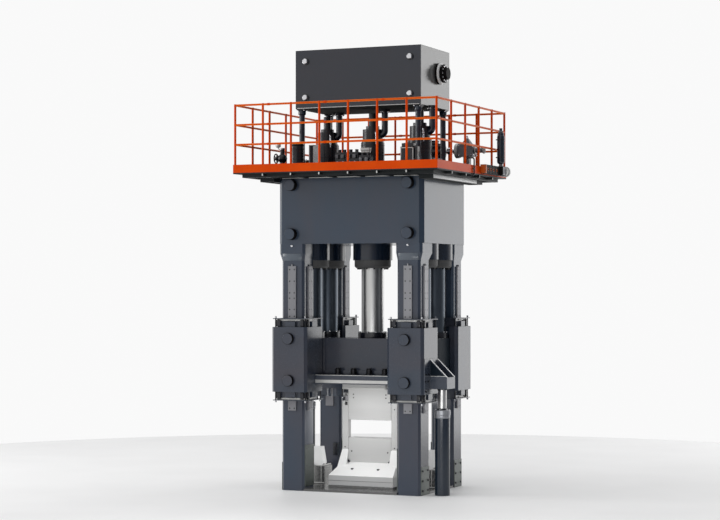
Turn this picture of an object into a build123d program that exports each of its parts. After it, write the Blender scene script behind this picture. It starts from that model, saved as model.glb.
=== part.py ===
"""Four-column hydraulic press with a maintenance platform and an oil tank on top.

Millimetres. X runs left to right, Y runs front to back, Z runs up. The origin is
on the floor at the centre of the press.
"""

import os

from build123d import *

os.makedirs("parts", exist_ok=True)

# Clearances
seat_gap = 0.3            # between pieces that stand in or round each other
gib_gap = 0.5             # between the guide housings and the guide rails
rod_gap = 0.5             # between a rod and its gland
body_gap = 5              # between pieces that only pass each other

# Columns
column_x = 1100
column_y = 790
column_w = 430
column_d = 440
column_chamfer = 40
head_height = 170
head_slope = 125
head_inward_x = 20
head_outward_x = 40
head_inward_y = 70

# Crown
crown_w = 2750
crown_d = 2050
crown_bottom = 4340
crown_h = 1150
crown_chamfer = 70
pin_x = 1110
pin_r = 102
pin_out = 112
pin_low = 172             # height of the lower pins over the crown's underside
pin_high = 1035
stud_r = 18
stud_out = 20

# Guide rails
rail_w = 150
rail_t = 30
rail_bottom = 1410
rail_end_gap = 390        # from the rails' top ends to the crown
rail_top = crown_bottom - rail_end_gap
stop_r = 14
stop_h = 32

# Press cylinders
corner_cyl_x = 1045
corner_cyl_y = 340
corner_rod_r = 195
corner_barrel_r = 300
corner_collar_r = 328     # the barrel's wider part below the crown
corner_gland_r = 310
centre_rod_r = 200
centre_barrel_r = 290
centre_collar_r = 350
centre_gland_r = 325
gland_h = 140
gland_drop = 420          # from the crown's underside to the glands' underside
gland_bottom = crown_bottom - gland_drop
gland_chamfer = 32
barrel_wall = 80
neck_r = 212
rod_reach = 110           # how far the rods reach into the crown
rod_top = crown_bottom + rod_reach
bore_top = crown_bottom + crown_h - 2 * body_gap
gland_bolt_count = 12
gland_bolt_r = 17
gland_bolt_h = 24

# Guide housings of the slide
housing_bottom = 1740
housing_top = 2880
housing_out_x = 340       # half width of a housing
housing_front_y = 385     # from the column centre outwards
housing_back_y = 335      # from the column centre towards the press centre
housing_chamfer = 50
housing_pin_r = 100
housing_pin_out = 65
housing_pin_low = 202     # height over the housing's underside
housing_pin_high = 937

# Wiper frames above and below each housing
wiper_neck_t = 22
wiper_neck_h = 140
wiper_plate_t = 14
wiper_plate_w = 650
wiper_plate_d = 690
wiper_tab_w = 190
wiper_tab_t = 55
wiper_tab_h = 95
wiper_bolt_r = 18
wiper_bolt_h = 34

# Slide
slide_top = 2676
beam_bottom = 2040
beam_half_d = 420
beam_end_x = 1300
beam_foot_h = 67
plate_bottom = 1880
plate_half_w = 755
plate_half_d = 800
ring_r = 260
corner_ring_r = 235
ring_h = 100
slide_nut_r = 50
slide_nut_h = 100
slide_nut_inner_x = 150
slide_nut_outer_x = 450

# Dies
die_half_w = 413
die_half_d = 140
upper_die_bottom = 1216
upper_die_h = 554
upper_shoe_half_d = 400
lower_die_top = 897
shoe_half_w = 620
shoe_half_d = 550
bolster_t = 35
base_t = 40
shoe_flat_h = 175
apron_top = 460
cheek_w = 117
cheek_d = 120
cheek_foot_w = 190
cheek_foot_d = 300
cheek_top = 690
post_top = 1550

# Side wedge units between the columns
wedge_x = 1070
wedge_y = 100
wedge_base_w = 300
wedge_base_d = 330
wedge_base_h = 320
wedge_w = 190
wedge_d = 150
wedge_h = 340
wedge_lean = 80

# Plates at the columns' feet
foot_t = 12
foot_top = 490
liner_t = 15
liner_bottom = 80
liner_top = 800
box_x = -966              # a small box on the back left column, above its foot
box_z = 627
box_w = 108
box_t = 60
box_h = 234

# Lift cylinders
lift_x = 1610
lift_y = 710
lift_tube_r = 130
lift_tube_top = 1385
lift_bore_r = 95
lift_floor = 60
lift_head_r = 142
lift_head_h = 85
lift_rod_r = 73
lift_rod_bottom = 400
arm_bottom = 1835
arm_top = 2035
arm_half_w = 190
arm_reach = 330
arm_plate_t = 20
arm_plate_front = 440     # from the lift cylinder's axis to the plate's front edge
arm_plate_back = 250
arm_plate_bottom = 1750
arm_plate_top = 2350
arm_plate_round = 220
rib_t = 40
rib_top = 2340

# Platform
platform_half_w = 1915
platform_half_d = 1714
deck_t = 20
deck_rise = 82
deck_top = crown_bottom + crown_h + deck_rise
toe_h = 142
toe_t = 10
rail_post_r = 20
rail_tube_r = 18
rail_weld = 2             # how deep a railing post bites into its toe board
rail_low_h = 491          # heights of the three rails over the deck
rail_mid_h = 835
rail_high_h = 1178
front_bays = 7
side_bays = 5
joist_w = 56
edge_beam_inset = 120
edge_beam_w = 80
bracket_t = 22            # below the deck's edge, one at each railing post
bracket_h = 42
outrigger_half_y = 1200
outrigger_out = 1640
outrigger_drop = 60

# Oil tank
tank_w = 2400
tank_d = 1360
tank_leg_h = 1176
tank_bottom = deck_top + tank_leg_h
tank_h = 1024
tank_wall = 10
lid_t = 8
leg_inset_x = 85
leg_inset_y = 90
tank_leg_x = tank_w / 2 - leg_inset_x
tank_leg_y = tank_d / 2 - leg_inset_y
tank_leg_r = 44
leg_flange_w = 150
leg_flange_t = 20
knob_inset = 200
knob_x = tank_w / 2 - knob_inset
knob_low = 192
knob_high = tank_h - knob_low
knob_r = 50
knob_out = 60
port_y = 150
port_h = 602
port_z = tank_bottom + port_h
port_r = 187
port_t = 68
port_neck_r = 140
port_neck_h = 24
port_cover_r = 160
port_cover_t = 32
port_hub_r = 106
port_out = 190
port_bolt_r = 14
port_bolt_count = 12

# Prefill valves and suction pipes
neck_rise = 28            # how far the barrels' necks stand over the deck
valve_seat_z = deck_top + neck_rise
valve_low_r = 210
valve_low_h = 560
valve_groove_r = 196
valve_groove_h = 20
valve_mid_r = 180
valve_mid_h = 210
valve_cap_r = 120
valve_cap_h = 60
valve_stem_r = 70
valve_stem_h = 230
cap_r = 170
cap_h = 250
pipe_r = 57.5
pipe_offset = 235
pipe_turn_r = 85
pipe_low_h = 690
pipe_low = valve_seat_z + pipe_low_h

corners = {
    "front_left": (-1, -1),
    "front_right": (1, -1),
    "back_left": (-1, 1),
    "back_right": (1, 1),
}
column_spots = [(sx * column_x, sy * column_y) for sx, sy in corners.values()]
corner_spots = [(sx * corner_cyl_x, sy * corner_cyl_y) for sx, sy in corners.values()]
crown_top = crown_bottom + crown_h
gland_top = gland_bottom + gland_h
wedge_base_top = base_t + wedge_base_h
wedge_top = wedge_base_top + wedge_h
hole_w = column_w + 2 * (rail_t + gib_gap)
hole_d = column_d + 2 * (rail_t + gib_gap)
scallop_r = corner_collar_r + body_gap
gland_room_bottom = gland_bottom - gland_bolt_h - body_gap


# Floor plate and columns
floor_half_w = column_x + column_w / 2
floor_half_d = column_y + column_d / 2

with BuildPart() as base_plate:
    with BuildSketch(Plane.XY):
        Rectangle(2 * floor_half_w, 2 * floor_half_d)
        with Locations(column_spots):
            Rectangle(column_w + 2 * seat_gap, column_d + 2 * seat_gap, mode=Mode.SUBTRACT)
    extrude(amount=base_t)
base_plate.part.label = "base_plate"
export_step(base_plate.part, "parts/base_plate.step")


def column_outline(width, depth):
    """A column's section: a rectangle with its corners cut off."""
    outline = Rectangle(width, depth)
    chamfer(outline.vertices(), length=column_chamfer)


head_outward_y = crown_d / 2 - floor_half_d
head_w = column_w + head_inward_x + head_outward_x
head_d = column_d + head_inward_y + head_outward_y
head_shift_x = (head_outward_x - head_inward_x) / 2
head_shift_y = (head_outward_y - head_inward_y) / 2
slope_bottom = crown_bottom - head_height - head_slope
slope_top = crown_bottom - head_height

for corner, (sx, sy) in corners.items():
    shaft_plane = Plane((sx * column_x, sy * column_y, 0))
    head_plane = Plane((sx * (column_x + head_shift_x), sy * (column_y + head_shift_y), slope_top))
    with BuildPart() as column:
        with BuildSketch(shaft_plane):
            column_outline(column_w, column_d)
        extrude(amount=slope_bottom)
        with BuildSketch(shaft_plane.offset(slope_bottom)):
            column_outline(column_w, column_d)
        with BuildSketch(head_plane):
            column_outline(head_w, head_d)
        loft()
        with BuildSketch(head_plane):
            column_outline(head_w, head_d)
        extrude(amount=head_height)
        # Room for the corner cylinder, which passes close behind the column's head.
        with BuildSketch(Plane.XY.offset(gland_room_bottom)):
            with Locations((sx * corner_cyl_x, sy * corner_cyl_y)):
                Circle(scallop_r)
        extrude(amount=crown_bottom - gland_room_bottom, mode=Mode.SUBTRACT)
    column.part.label = f"column_{corner}"
    export_step(column.part, f"parts/column_{corner}.step")


# Guide rails: one on each face of each column, each with a stop on its top end.
# The rail that faces the press centre is shorter, because a gland hangs over it.
rail_x = column_w / 2 + rail_t / 2
rail_y = column_d / 2 + rail_t / 2
side_rail_spots = [
    (sx * (column_x + side * rail_x), sy * column_y)
    for sx, sy in corners.values()
    for side in (-1, 1)
]
outer_rail_spots = [(sx * column_x, sy * (column_y + rail_y)) for sx, sy in corners.values()]
inner_rail_spots = [(sx * column_x, sy * (column_y - rail_y)) for sx, sy in corners.values()]
inner_rail_top = gland_room_bottom

with BuildPart() as guide_rails:
    with BuildSketch(Plane.XY.offset(rail_bottom)):
        with Locations(side_rail_spots):
            Rectangle(rail_t, rail_w)
        with Locations(outer_rail_spots):
            Rectangle(rail_w, rail_t)
    extrude(amount=rail_top - rail_bottom)
    with BuildSketch(Plane.XY.offset(rail_bottom)):
        with Locations(inner_rail_spots):
            Rectangle(rail_w, rail_t)
    extrude(amount=inner_rail_top - rail_bottom)
    with BuildSketch(Plane.XY.offset(rail_top)):
        with Locations(side_rail_spots + outer_rail_spots):
            RegularPolygon(stop_r, 8)
    extrude(amount=stop_h)
guide_rails.part.label = "guide_rails"
export_step(guide_rails.part, "parts/guide_rails.step")


# Plates at the foot of each column: a foot on its outer side, a liner on its inner side
foot_d = column_d - 2 * column_chamfer
foot_x = floor_half_w + foot_t / 2
liner_x = column_x - column_w / 2 - liner_t / 2
with BuildPart() as foot_plates:
    with BuildSketch(Plane.XY):
        with Locations([(sx * foot_x, sy * column_y) for sx, sy in corners.values()]):
            Rectangle(foot_t, foot_d)
    extrude(amount=foot_top)
    with BuildSketch(Plane.XY.offset(liner_bottom)):
        with Locations([(sx * liner_x, sy * column_y) for sx, sy in corners.values()]):
            Rectangle(liner_t, foot_d)
    extrude(amount=liner_top - liner_bottom)
foot_plates.part.label = "foot_plates"
export_step(foot_plates.part, "parts/foot_plates.step")

box_y = column_y - (column_d + box_t) / 2
with BuildPart() as column_box:
    with Locations((box_x, box_y, box_z)):
        Box(box_w, box_t, box_h)
    chamfer(column_box.edges().group_by(Axis.Y)[0], length=body_gap)
column_box.part.label = "column_box"
export_step(column_box.part, "parts/column_box.step")


# Crown with its five cylinder bores
with BuildPart() as crown:
    with BuildSketch(Plane.XY.offset(crown_bottom)):
        crown_outline = Rectangle(crown_w, crown_d)
        chamfer(crown_outline.vertices(), length=crown_chamfer)
        Circle(centre_barrel_r + seat_gap, mode=Mode.SUBTRACT)
        with Locations(corner_spots):
            Circle(corner_barrel_r + seat_gap, mode=Mode.SUBTRACT)
    extrude(amount=crown_h)
crown.part.label = "crown"
export_step(crown.part, "parts/crown.step")

crown_front = Plane.XZ.offset(crown_d / 2)
crown_back = Plane.XZ.offset(-crown_d / 2)
pin_spots = [
    (side * pin_x, crown_bottom + height)
    for side in (-1, 1)
    for height in (pin_low, pin_high)
]

stud_spots = [(side * column_x, crown_bottom - 2 * stud_r) for side in (-1, 1)]

with BuildPart() as crown_pins:
    with BuildSketch(crown_front):
        with Locations(pin_spots):
            Circle(pin_r)
    extrude(amount=pin_out)
    with BuildSketch(crown_back):
        with Locations(pin_spots):
            Circle(pin_r)
    extrude(amount=-pin_out)
    chamfer(crown_pins.edges().group_by(Axis.Y)[0], length=pin_r / 12)
    chamfer(crown_pins.edges().group_by(Axis.Y)[-1], length=pin_r / 12)
    # A small stud on each column head, just under the crown.
    with BuildSketch(crown_front):
        with Locations(stud_spots):
            Circle(stud_r)
    extrude(amount=stud_out)
    with BuildSketch(crown_back):
        with Locations(stud_spots):
            Circle(stud_r)
    extrude(amount=-stud_out)
crown_pins.part.label = "crown_pins"
export_step(crown_pins.part, "parts/crown_pins.step")


# Press cylinders: barrels in the crown, glands below them, rods down to the slide
def barrel_points(outer_r, collar_r):
    """Half section of a barrel: collar and open bore below, stepped neck above the crown."""
    bore_r = outer_r - barrel_wall
    return [
        (bore_r, gland_top),
        (collar_r, gland_top),
        (collar_r, crown_bottom),
        (outer_r, crown_bottom),
        (outer_r, crown_top),
        (neck_r, crown_top),
        (neck_r, valve_seat_z),
        (0, valve_seat_z),
        (0, bore_top),
        (bore_r, bore_top),
    ]


barrel_sizes = [(0, 0, centre_barrel_r, centre_collar_r)]
barrel_sizes += [(x, y, corner_barrel_r, corner_collar_r) for x, y in corner_spots]

with BuildPart() as press_barrels:
    for x, y, outer_r, collar_r in barrel_sizes:
        with BuildSketch(Plane(origin=(x, y, 0), x_dir=(1, 0, 0), z_dir=(0, -1, 0))):
            with BuildLine():
                Polyline(*barrel_points(outer_r, collar_r), close=True)
            make_face()
        revolve(axis=Axis((x, y, 0), (0, 0, 1)))
press_barrels.part.label = "press_barrels"
export_step(press_barrels.part, "parts/press_barrels.step")

# Gland rings under the barrels, with a bevel round the lower edge
with BuildPart() as gland_rings:
    with BuildSketch(Plane.XY.offset(gland_bottom)):
        Circle(centre_gland_r)
        with Locations(corner_spots):
            Circle(corner_gland_r)
    extrude(amount=gland_h)
    chamfer(gland_rings.edges().group_by(Axis.Z)[0], length=gland_chamfer)
    with BuildSketch(Plane.XY.offset(gland_bottom)):
        Circle(centre_rod_r + rod_gap)
        with Locations(corner_spots):
            Circle(corner_rod_r + rod_gap)
    extrude(amount=gland_h, mode=Mode.SUBTRACT)
gland_rings.part.label = "gland_rings"
export_step(gland_rings.part, "parts/gland_rings.step")

with BuildPart() as gland_bolts:
    with BuildSketch(Plane.XY.offset(gland_bottom)):
        bolt_circle_r = centre_gland_r - gland_chamfer - 1.6 * gland_bolt_r
        with PolarLocations(bolt_circle_r, gland_bolt_count):
            RegularPolygon(gland_bolt_r, 6)
        bolt_circle_r = corner_gland_r - gland_chamfer - 1.6 * gland_bolt_r
        with Locations(corner_spots):
            with PolarLocations(bolt_circle_r, gland_bolt_count):
                RegularPolygon(gland_bolt_r, 6)
    extrude(amount=-gland_bolt_h)
gland_bolts.part.label = "gland_bolts"
export_step(gland_bolts.part, "parts/gland_bolts.step")

with BuildPart() as press_rods:
    with BuildSketch(Plane.XY.offset(slide_top)):
        Circle(centre_rod_r)
        with Locations(corner_spots):
            Circle(corner_rod_r)
    extrude(amount=rod_top - slide_top)
    chamfer(press_rods.edges().group_by(Axis.Z)[-1], length=body_gap)
press_rods.part.label = "press_rods"
export_step(press_rods.part, "parts/press_rods.step")


# Rod rings, which clamp the rods to the slide. The corner rings have a flat towards the column.
ring_flat_y = column_y - column_d / 2 - rail_t - body_gap

with BuildPart() as rod_rings:
    with BuildSketch(Plane.XY.offset(slide_top)):
        Circle(ring_r)
        Circle(centre_rod_r + seat_gap, mode=Mode.SUBTRACT)
        with Locations(corner_spots):
            Circle(corner_ring_r)
        Rectangle(crown_w, 2 * ring_flat_y, mode=Mode.INTERSECT)
        with Locations(corner_spots):
            Circle(corner_rod_r + seat_gap, mode=Mode.SUBTRACT)
    extrude(amount=ring_h)
rod_rings.part.label = "rod_rings"
export_step(rod_rings.part, "parts/rod_rings.step")


# Guide housings: square sleeves that run on the rails, with a window for the corner rod
housing_w = 2 * housing_out_x
housing_d = housing_front_y + housing_back_y
housing_shift = (housing_front_y - housing_back_y) / 2
housing_inner_y = column_y - housing_back_y
housing_outer_y = column_y + housing_front_y
window_half_w = corner_ring_r + body_gap

for corner, (sx, sy) in corners.items():
    with BuildPart() as housing:
        with BuildSketch(Plane((sx * column_x, sy * (column_y + housing_shift), housing_bottom))):
            housing_outline = Rectangle(housing_w, housing_d)
            chamfer(housing_outline.vertices(), length=housing_chamfer)
        extrude(amount=housing_top - housing_bottom)
        with BuildSketch(Plane((sx * column_x, sy * column_y, housing_bottom))):
            Rectangle(hole_w, hole_d)
        extrude(amount=housing_top - housing_bottom, mode=Mode.SUBTRACT)
        with BuildSketch(Plane((sx * corner_cyl_x, sy * housing_inner_y, slide_top))):
            Rectangle(2 * window_half_w, 2 * (column_y - hole_d / 2 - housing_inner_y))
        extrude(amount=housing_top - slide_top, mode=Mode.SUBTRACT)
    housing.part.label = f"housing_{corner}"
    export_step(housing.part, f"parts/housing_{corner}.step")

housing_pin_spots = [
    (side * column_x, housing_bottom + height)
    for side in (-1, 1)
    for height in (housing_pin_low, housing_pin_high)
]
with BuildPart() as housing_pins:
    with BuildSketch(Plane.XZ.offset(housing_outer_y)):
        with Locations(housing_pin_spots):
            Circle(housing_pin_r)
    extrude(amount=housing_pin_out)
    with BuildSketch(Plane.XZ.offset(-housing_outer_y)):
        with Locations(housing_pin_spots):
            Circle(housing_pin_r)
    extrude(amount=-housing_pin_out)
    chamfer(housing_pins.edges().group_by(Axis.Y)[0], length=housing_pin_r / 12)
    chamfer(housing_pins.edges().group_by(Axis.Y)[-1], length=housing_pin_r / 12)
housing_pins.part.label = "housing_pins"
export_step(housing_pins.part, "parts/housing_pins.step")


# Wiper frames: a square neck with a plate, above and below each housing
neck_w = hole_w + 2 * wiper_neck_t
neck_d = hole_d + 2 * wiper_neck_t
tab_x = (neck_w + wiper_tab_t) / 2
tab_y = (neck_d + wiper_tab_t) / 2
side_tab_spots = [
    (sx * column_x + side * tab_x, sy * column_y)
    for sx, sy in corners.values()
    for side in (-1, 1)
]
outer_tab_spots = [(sx * column_x, sy * (column_y + tab_y)) for sx, sy in corners.values()]

with BuildPart() as wiper_frames:
    for seat_z, way in ((housing_top, 1), (housing_bottom, -1)):
        with BuildSketch(Plane.XY.offset(seat_z)):
            with Locations(column_spots):
                Rectangle(neck_w, neck_d)
        extrude(amount=way * wiper_neck_h)
        with BuildSketch(Plane.XY.offset(seat_z)):
            with Locations(outer_tab_spots):
                Rectangle(wiper_tab_w, wiper_tab_t)
            with Locations(side_tab_spots):
                Rectangle(wiper_tab_t, wiper_tab_w)
        extrude(amount=way * wiper_tab_h)
        with BuildSketch(Plane.XY.offset(seat_z + way * wiper_neck_h)):
            with Locations(column_spots):
                Rectangle(wiper_plate_w, wiper_plate_d)
        extrude(amount=way * wiper_plate_t)
        with BuildSketch(Plane.XY.offset(seat_z)):
            with Locations(column_spots):
                Rectangle(hole_w, hole_d)
            # The corner rods pass close by, so the frames are cut back there.
            with Locations(corner_spots):
                Circle(corner_rod_r + body_gap)
        extrude(amount=way * (wiper_neck_h + wiper_plate_t), mode=Mode.SUBTRACT)
wiper_frames.part.label = "wiper_frames"
export_step(wiper_frames.part, "parts/wiper_frames.step")

wiper_bolt_x = wiper_plate_w / 2 - 2 * wiper_bolt_r
wiper_bolt_y = wiper_plate_d / 2 - 2 * wiper_bolt_r
wiper_reach = wiper_neck_h + wiper_plate_t
with BuildPart() as wiper_bolts:
    for seat_z, way in ((housing_top + wiper_reach, 1), (housing_bottom - wiper_reach, -1)):
        with BuildSketch(Plane.XY.offset(seat_z)):
            with Locations(column_spots):
                with GridLocations(2 * wiper_bolt_x, 2 * wiper_bolt_y, 2, 2):
                    RegularPolygon(wiper_bolt_r, 6)
        extrude(amount=way * wiper_bolt_h)
wiper_bolts.part.label = "wiper_bolts"
export_step(wiper_bolts.part, "parts/wiper_bolts.step")


# Slide beam between the housings, its plate and the nuts that hold the plate
beam_end_in = column_x - housing_out_x
with BuildPart() as slide_beam:
    with BuildSketch(Plane.XY.offset(beam_bottom)):
        Rectangle(2 * beam_end_x, 2 * beam_half_d)
        for side in (-1, 1):
            with Locations((side * (beam_end_x + beam_end_in) / 2, 0)):
                Rectangle(beam_end_x - beam_end_in, 2 * housing_inner_y)
    extrude(amount=slide_top - beam_bottom)
    with BuildSketch(Plane.XY.offset(beam_bottom)):
        Rectangle(2 * plate_half_w, 2 * housing_inner_y)
    extrude(amount=beam_foot_h)
slide_beam.part.label = "slide_beam"
export_step(slide_beam.part, "parts/slide_beam.step")

with BuildPart() as slide_plate:
    with BuildSketch(Plane.XY.offset(plate_bottom)):
        Rectangle(2 * plate_half_w, 2 * plate_half_d)
    extrude(amount=beam_bottom - plate_bottom)
    chamfer(slide_plate.edges().group_by(Axis.Z)[-1], length=body_gap)
slide_plate.part.label = "slide_plate"
export_step(slide_plate.part, "parts/slide_plate.step")

slide_nut_y = housing_inner_y + slide_nut_r + body_gap
slide_nut_spots = [
    (side * x, end * slide_nut_y)
    for side in (-1, 1)
    for x in (slide_nut_inner_x, slide_nut_outer_x)
    for end in (-1, 1)
]
with BuildPart() as slide_nuts:
    with BuildSketch(Plane.XY.offset(beam_bottom)):
        with Locations(slide_nut_spots):
            Circle(slide_nut_r)
    extrude(amount=slide_nut_h)
    chamfer(slide_nuts.edges().group_by(Axis.Z)[-1], length=slide_nut_r / 5)
slide_nuts.part.label = "slide_nuts"
export_step(slide_nuts.part, "parts/slide_nuts.step")

with BuildPart() as upper_die:
    with BuildSketch(Plane.XY.offset(upper_die_bottom)):
        Rectangle(2 * die_half_w, 2 * die_half_d)
    extrude(amount=upper_die_h)
    chamfer(upper_die.edges().group_by(Axis.Z)[0], length=body_gap)
    with BuildSketch(Plane.XY.offset(upper_die_bottom + upper_die_h)):
        Rectangle(2 * die_half_w, 2 * upper_shoe_half_d)
    extrude(amount=plate_bottom - upper_die_bottom - upper_die_h)
upper_die.part.label = "upper_die"
export_step(upper_die.part, "parts/upper_die.step")


# Bolster and lower die
shoe_bottom = base_t + bolster_t
with BuildPart() as bolster:
    with BuildSketch(Plane.XY.offset(base_t)):
        Rectangle(2 * shoe_half_w, 2 * shoe_half_d)
    extrude(amount=bolster_t)
bolster.part.label = "bolster"
export_step(bolster.part, "parts/bolster.step")

apron_bottom = shoe_bottom + shoe_flat_h
apron_plane = Plane.XY.offset(apron_bottom)
cheek_x = die_half_w + cheek_foot_w / 2
with BuildPart() as lower_die_shoe:
    with BuildSketch(Plane.XY.offset(shoe_bottom + body_gap)):
        Rectangle(2 * shoe_half_w, 2 * shoe_half_d)
    extrude(amount=shoe_flat_h - body_gap)
    with BuildSketch(Plane.XY.offset(shoe_bottom)):
        Rectangle(2 * shoe_half_w - 6 * body_gap, 2 * shoe_half_d - 6 * body_gap)
    extrude(amount=body_gap)
    with BuildSketch(apron_plane):
        Rectangle(2 * shoe_half_w, 2 * shoe_half_d)
    with BuildSketch(Plane.XY.offset(apron_top)):
        Rectangle(2 * (die_half_w + cheek_w), 2 * die_half_d)
    loft()
    for side in (-1, 1):
        with BuildSketch(Plane.XY.offset(apron_bottom)):
            with Locations((side * cheek_x, 0)):
                Rectangle(cheek_foot_w, 2 * cheek_foot_d)
        with BuildSketch(Plane.XY.offset(cheek_top)):
            with Locations((side * (die_half_w + cheek_w / 2), 0)):
                Rectangle(cheek_w, 2 * die_half_d)
        loft()
lower_die_shoe.part.label = "lower_die_shoe"
export_step(lower_die_shoe.part, "parts/lower_die_shoe.step")

with BuildPart() as lower_die:
    with BuildSketch(Plane.XY.offset(apron_top)):
        Rectangle(2 * die_half_w, 2 * die_half_d)
    extrude(amount=lower_die_top - apron_top)
    chamfer(lower_die.edges().group_by(Axis.Z)[-1], length=body_gap)
lower_die.part.label = "lower_die"
export_step(lower_die.part, "parts/lower_die.step")

post_y = cheek_d / 2 - die_half_d
with BuildPart() as die_posts:
    with BuildSketch(Plane.XY.offset(cheek_top)):
        for side in (-1, 1):
            with Locations((side * (die_half_w + (cheek_w + body_gap) / 2), post_y)):
                Rectangle(cheek_w - body_gap, cheek_d)
    extrude(amount=post_top - cheek_top)
    chamfer(die_posts.edges().group_by(Axis.Z)[-1], length=body_gap)
die_posts.part.label = "die_posts"
export_step(die_posts.part, "parts/die_posts.step")


# Side wedge units: a base block and a leaning wedge on each side of the die
with BuildPart() as wedge_bases:
    with BuildSketch(Plane.XY.offset(base_t)):
        for side in (-1, 1):
            with Locations((side * wedge_x, wedge_y)):
                Rectangle(wedge_base_w, wedge_base_d)
    extrude(amount=wedge_base_top - base_t)
    chamfer(wedge_bases.edges().group_by(Axis.Z)[-1], length=body_gap)
wedge_bases.part.label = "wedge_bases"
export_step(wedge_bases.part, "parts/wedge_bases.step")

with BuildPart() as side_wedges:
    for side in (-1, 1):
        with BuildSketch(Plane((side * wedge_x, wedge_y, wedge_base_top))):
            Rectangle(wedge_w, wedge_d)
        with BuildSketch(Plane((side * (wedge_x + wedge_lean / 2), wedge_y, wedge_top))):
            Rectangle(wedge_w - wedge_lean / 2, wedge_d)
        loft()
side_wedges.part.label = "side_wedges"
export_step(side_wedges.part, "parts/side_wedges.step")


# Lift cylinders: one at the front right, one turned half round at the back left
lift_spots = [(lift_x, -lift_y), (-lift_x, lift_y)]
lift_head_top = lift_tube_top + lift_head_h
with BuildPart() as lift_tubes:
    with BuildSketch(Plane.XY):
        with Locations(lift_spots):
            Circle(lift_tube_r)
    extrude(amount=lift_tube_top)
    with BuildSketch(Plane.XY.offset(lift_floor)):
        with Locations(lift_spots):
            Circle(lift_bore_r)
    extrude(amount=lift_tube_top - lift_floor, mode=Mode.SUBTRACT)
lift_tubes.part.label = "lift_tubes"
export_step(lift_tubes.part, "parts/lift_tubes.step")

with BuildPart() as lift_heads:
    with BuildSketch(Plane.XY.offset(lift_tube_top)):
        with Locations(lift_spots):
            Circle(lift_head_r)
    extrude(amount=lift_head_h)
    chamfer(lift_heads.edges().group_by(Axis.Z)[-1], length=lift_head_h / 8)
    with BuildSketch(Plane.XY.offset(lift_tube_top)):
        with Locations(lift_spots):
            Circle(lift_rod_r + rod_gap)
    extrude(amount=lift_head_h, mode=Mode.SUBTRACT)
lift_heads.part.label = "lift_heads"
export_step(lift_heads.part, "parts/lift_heads.step")

with BuildPart() as lift_rods:
    with BuildSketch(Plane.XY.offset(lift_rod_bottom)):
        with Locations(lift_spots):
            Circle(lift_rod_r)
    extrude(amount=arm_bottom - lift_rod_bottom)
    chamfer(lift_rods.edges().group_by(Axis.Z)[0], length=body_gap)
lift_rods.part.label = "lift_rods"
export_step(lift_rods.part, "parts/lift_rods.step")

housing_face_x = column_x + housing_out_x
arm_start_x = housing_face_x + arm_plate_t
with BuildPart() as lift_arms:
    for turn in (1, -1):
        face_plane = Plane(
            origin=(turn * housing_face_x, 0, 0), x_dir=(0, turn, 0), z_dir=(turn, 0, 0)
        )
        with BuildSketch(face_plane):
            with BuildLine():
                front = -lift_y - arm_plate_front
                back = -lift_y + arm_plate_back
                Line((front, arm_plate_bottom), (back, arm_plate_bottom))
                Line((back, arm_plate_bottom), (back, arm_plate_top - arm_plate_round))
                RadiusArc(
                    (back, arm_plate_top - arm_plate_round),
                    (back - arm_plate_round, arm_plate_top),
                    -arm_plate_round,
                )
                Line((back - arm_plate_round, arm_plate_top), (front, arm_plate_top))
                Line((front, arm_plate_top), (front, arm_plate_bottom))
            make_face()
        extrude(amount=arm_plate_t)
        with BuildSketch(face_plane.offset(arm_plate_t)):
            with Locations((-lift_y, (arm_bottom + arm_top) / 2)):
                Rectangle(2 * arm_half_w, arm_top - arm_bottom)
        extrude(amount=arm_reach - arm_plate_t)
        for edge in (-1, 1):
            rib_y = turn * (-lift_y + edge * (arm_half_w - rib_t / 2))
            with BuildSketch(Plane.XZ.offset(-rib_y)):
                with BuildLine():
                    Polyline(
                        (turn * arm_start_x, arm_top),
                        (turn * (housing_face_x + arm_reach), arm_top),
                        (turn * arm_start_x, rib_top),
                        close=True,
                    )
                make_face()
            extrude(amount=rib_t / 2, both=True)
lift_arms.part.label = "lift_arms"
export_step(lift_arms.part, "parts/lift_arms.step")


# Platform: deck, joists below it and a railing on each side
leg_spots = [(sx * tank_leg_x, sy * tank_leg_y) for sx, sy in corners.values()]
with BuildPart() as platform_deck:
    with BuildSketch(Plane.XY.offset(deck_top - deck_t)):
        Rectangle(2 * platform_half_w, 2 * platform_half_d)
        with Locations([(0, 0)] + corner_spots):
            Circle(neck_r + seat_gap, mode=Mode.SUBTRACT)
    extrude(amount=deck_t)
platform_deck.part.label = "platform_deck"
export_step(platform_deck.part, "parts/platform_deck.step")

post_half_x = platform_half_w - toe_t - rail_post_r + rail_weld
post_half_y = platform_half_d - toe_t - rail_post_r + rail_weld
front_pitch = 2 * post_half_x / front_bays
side_pitch = 2 * post_half_y / side_bays
joist_top = deck_top - deck_t
joist_half_y = platform_half_d - edge_beam_inset
edge_x = platform_half_w - edge_beam_inset - edge_beam_w / 2
edge_y = platform_half_d - edge_beam_inset - edge_beam_w / 2

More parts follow.
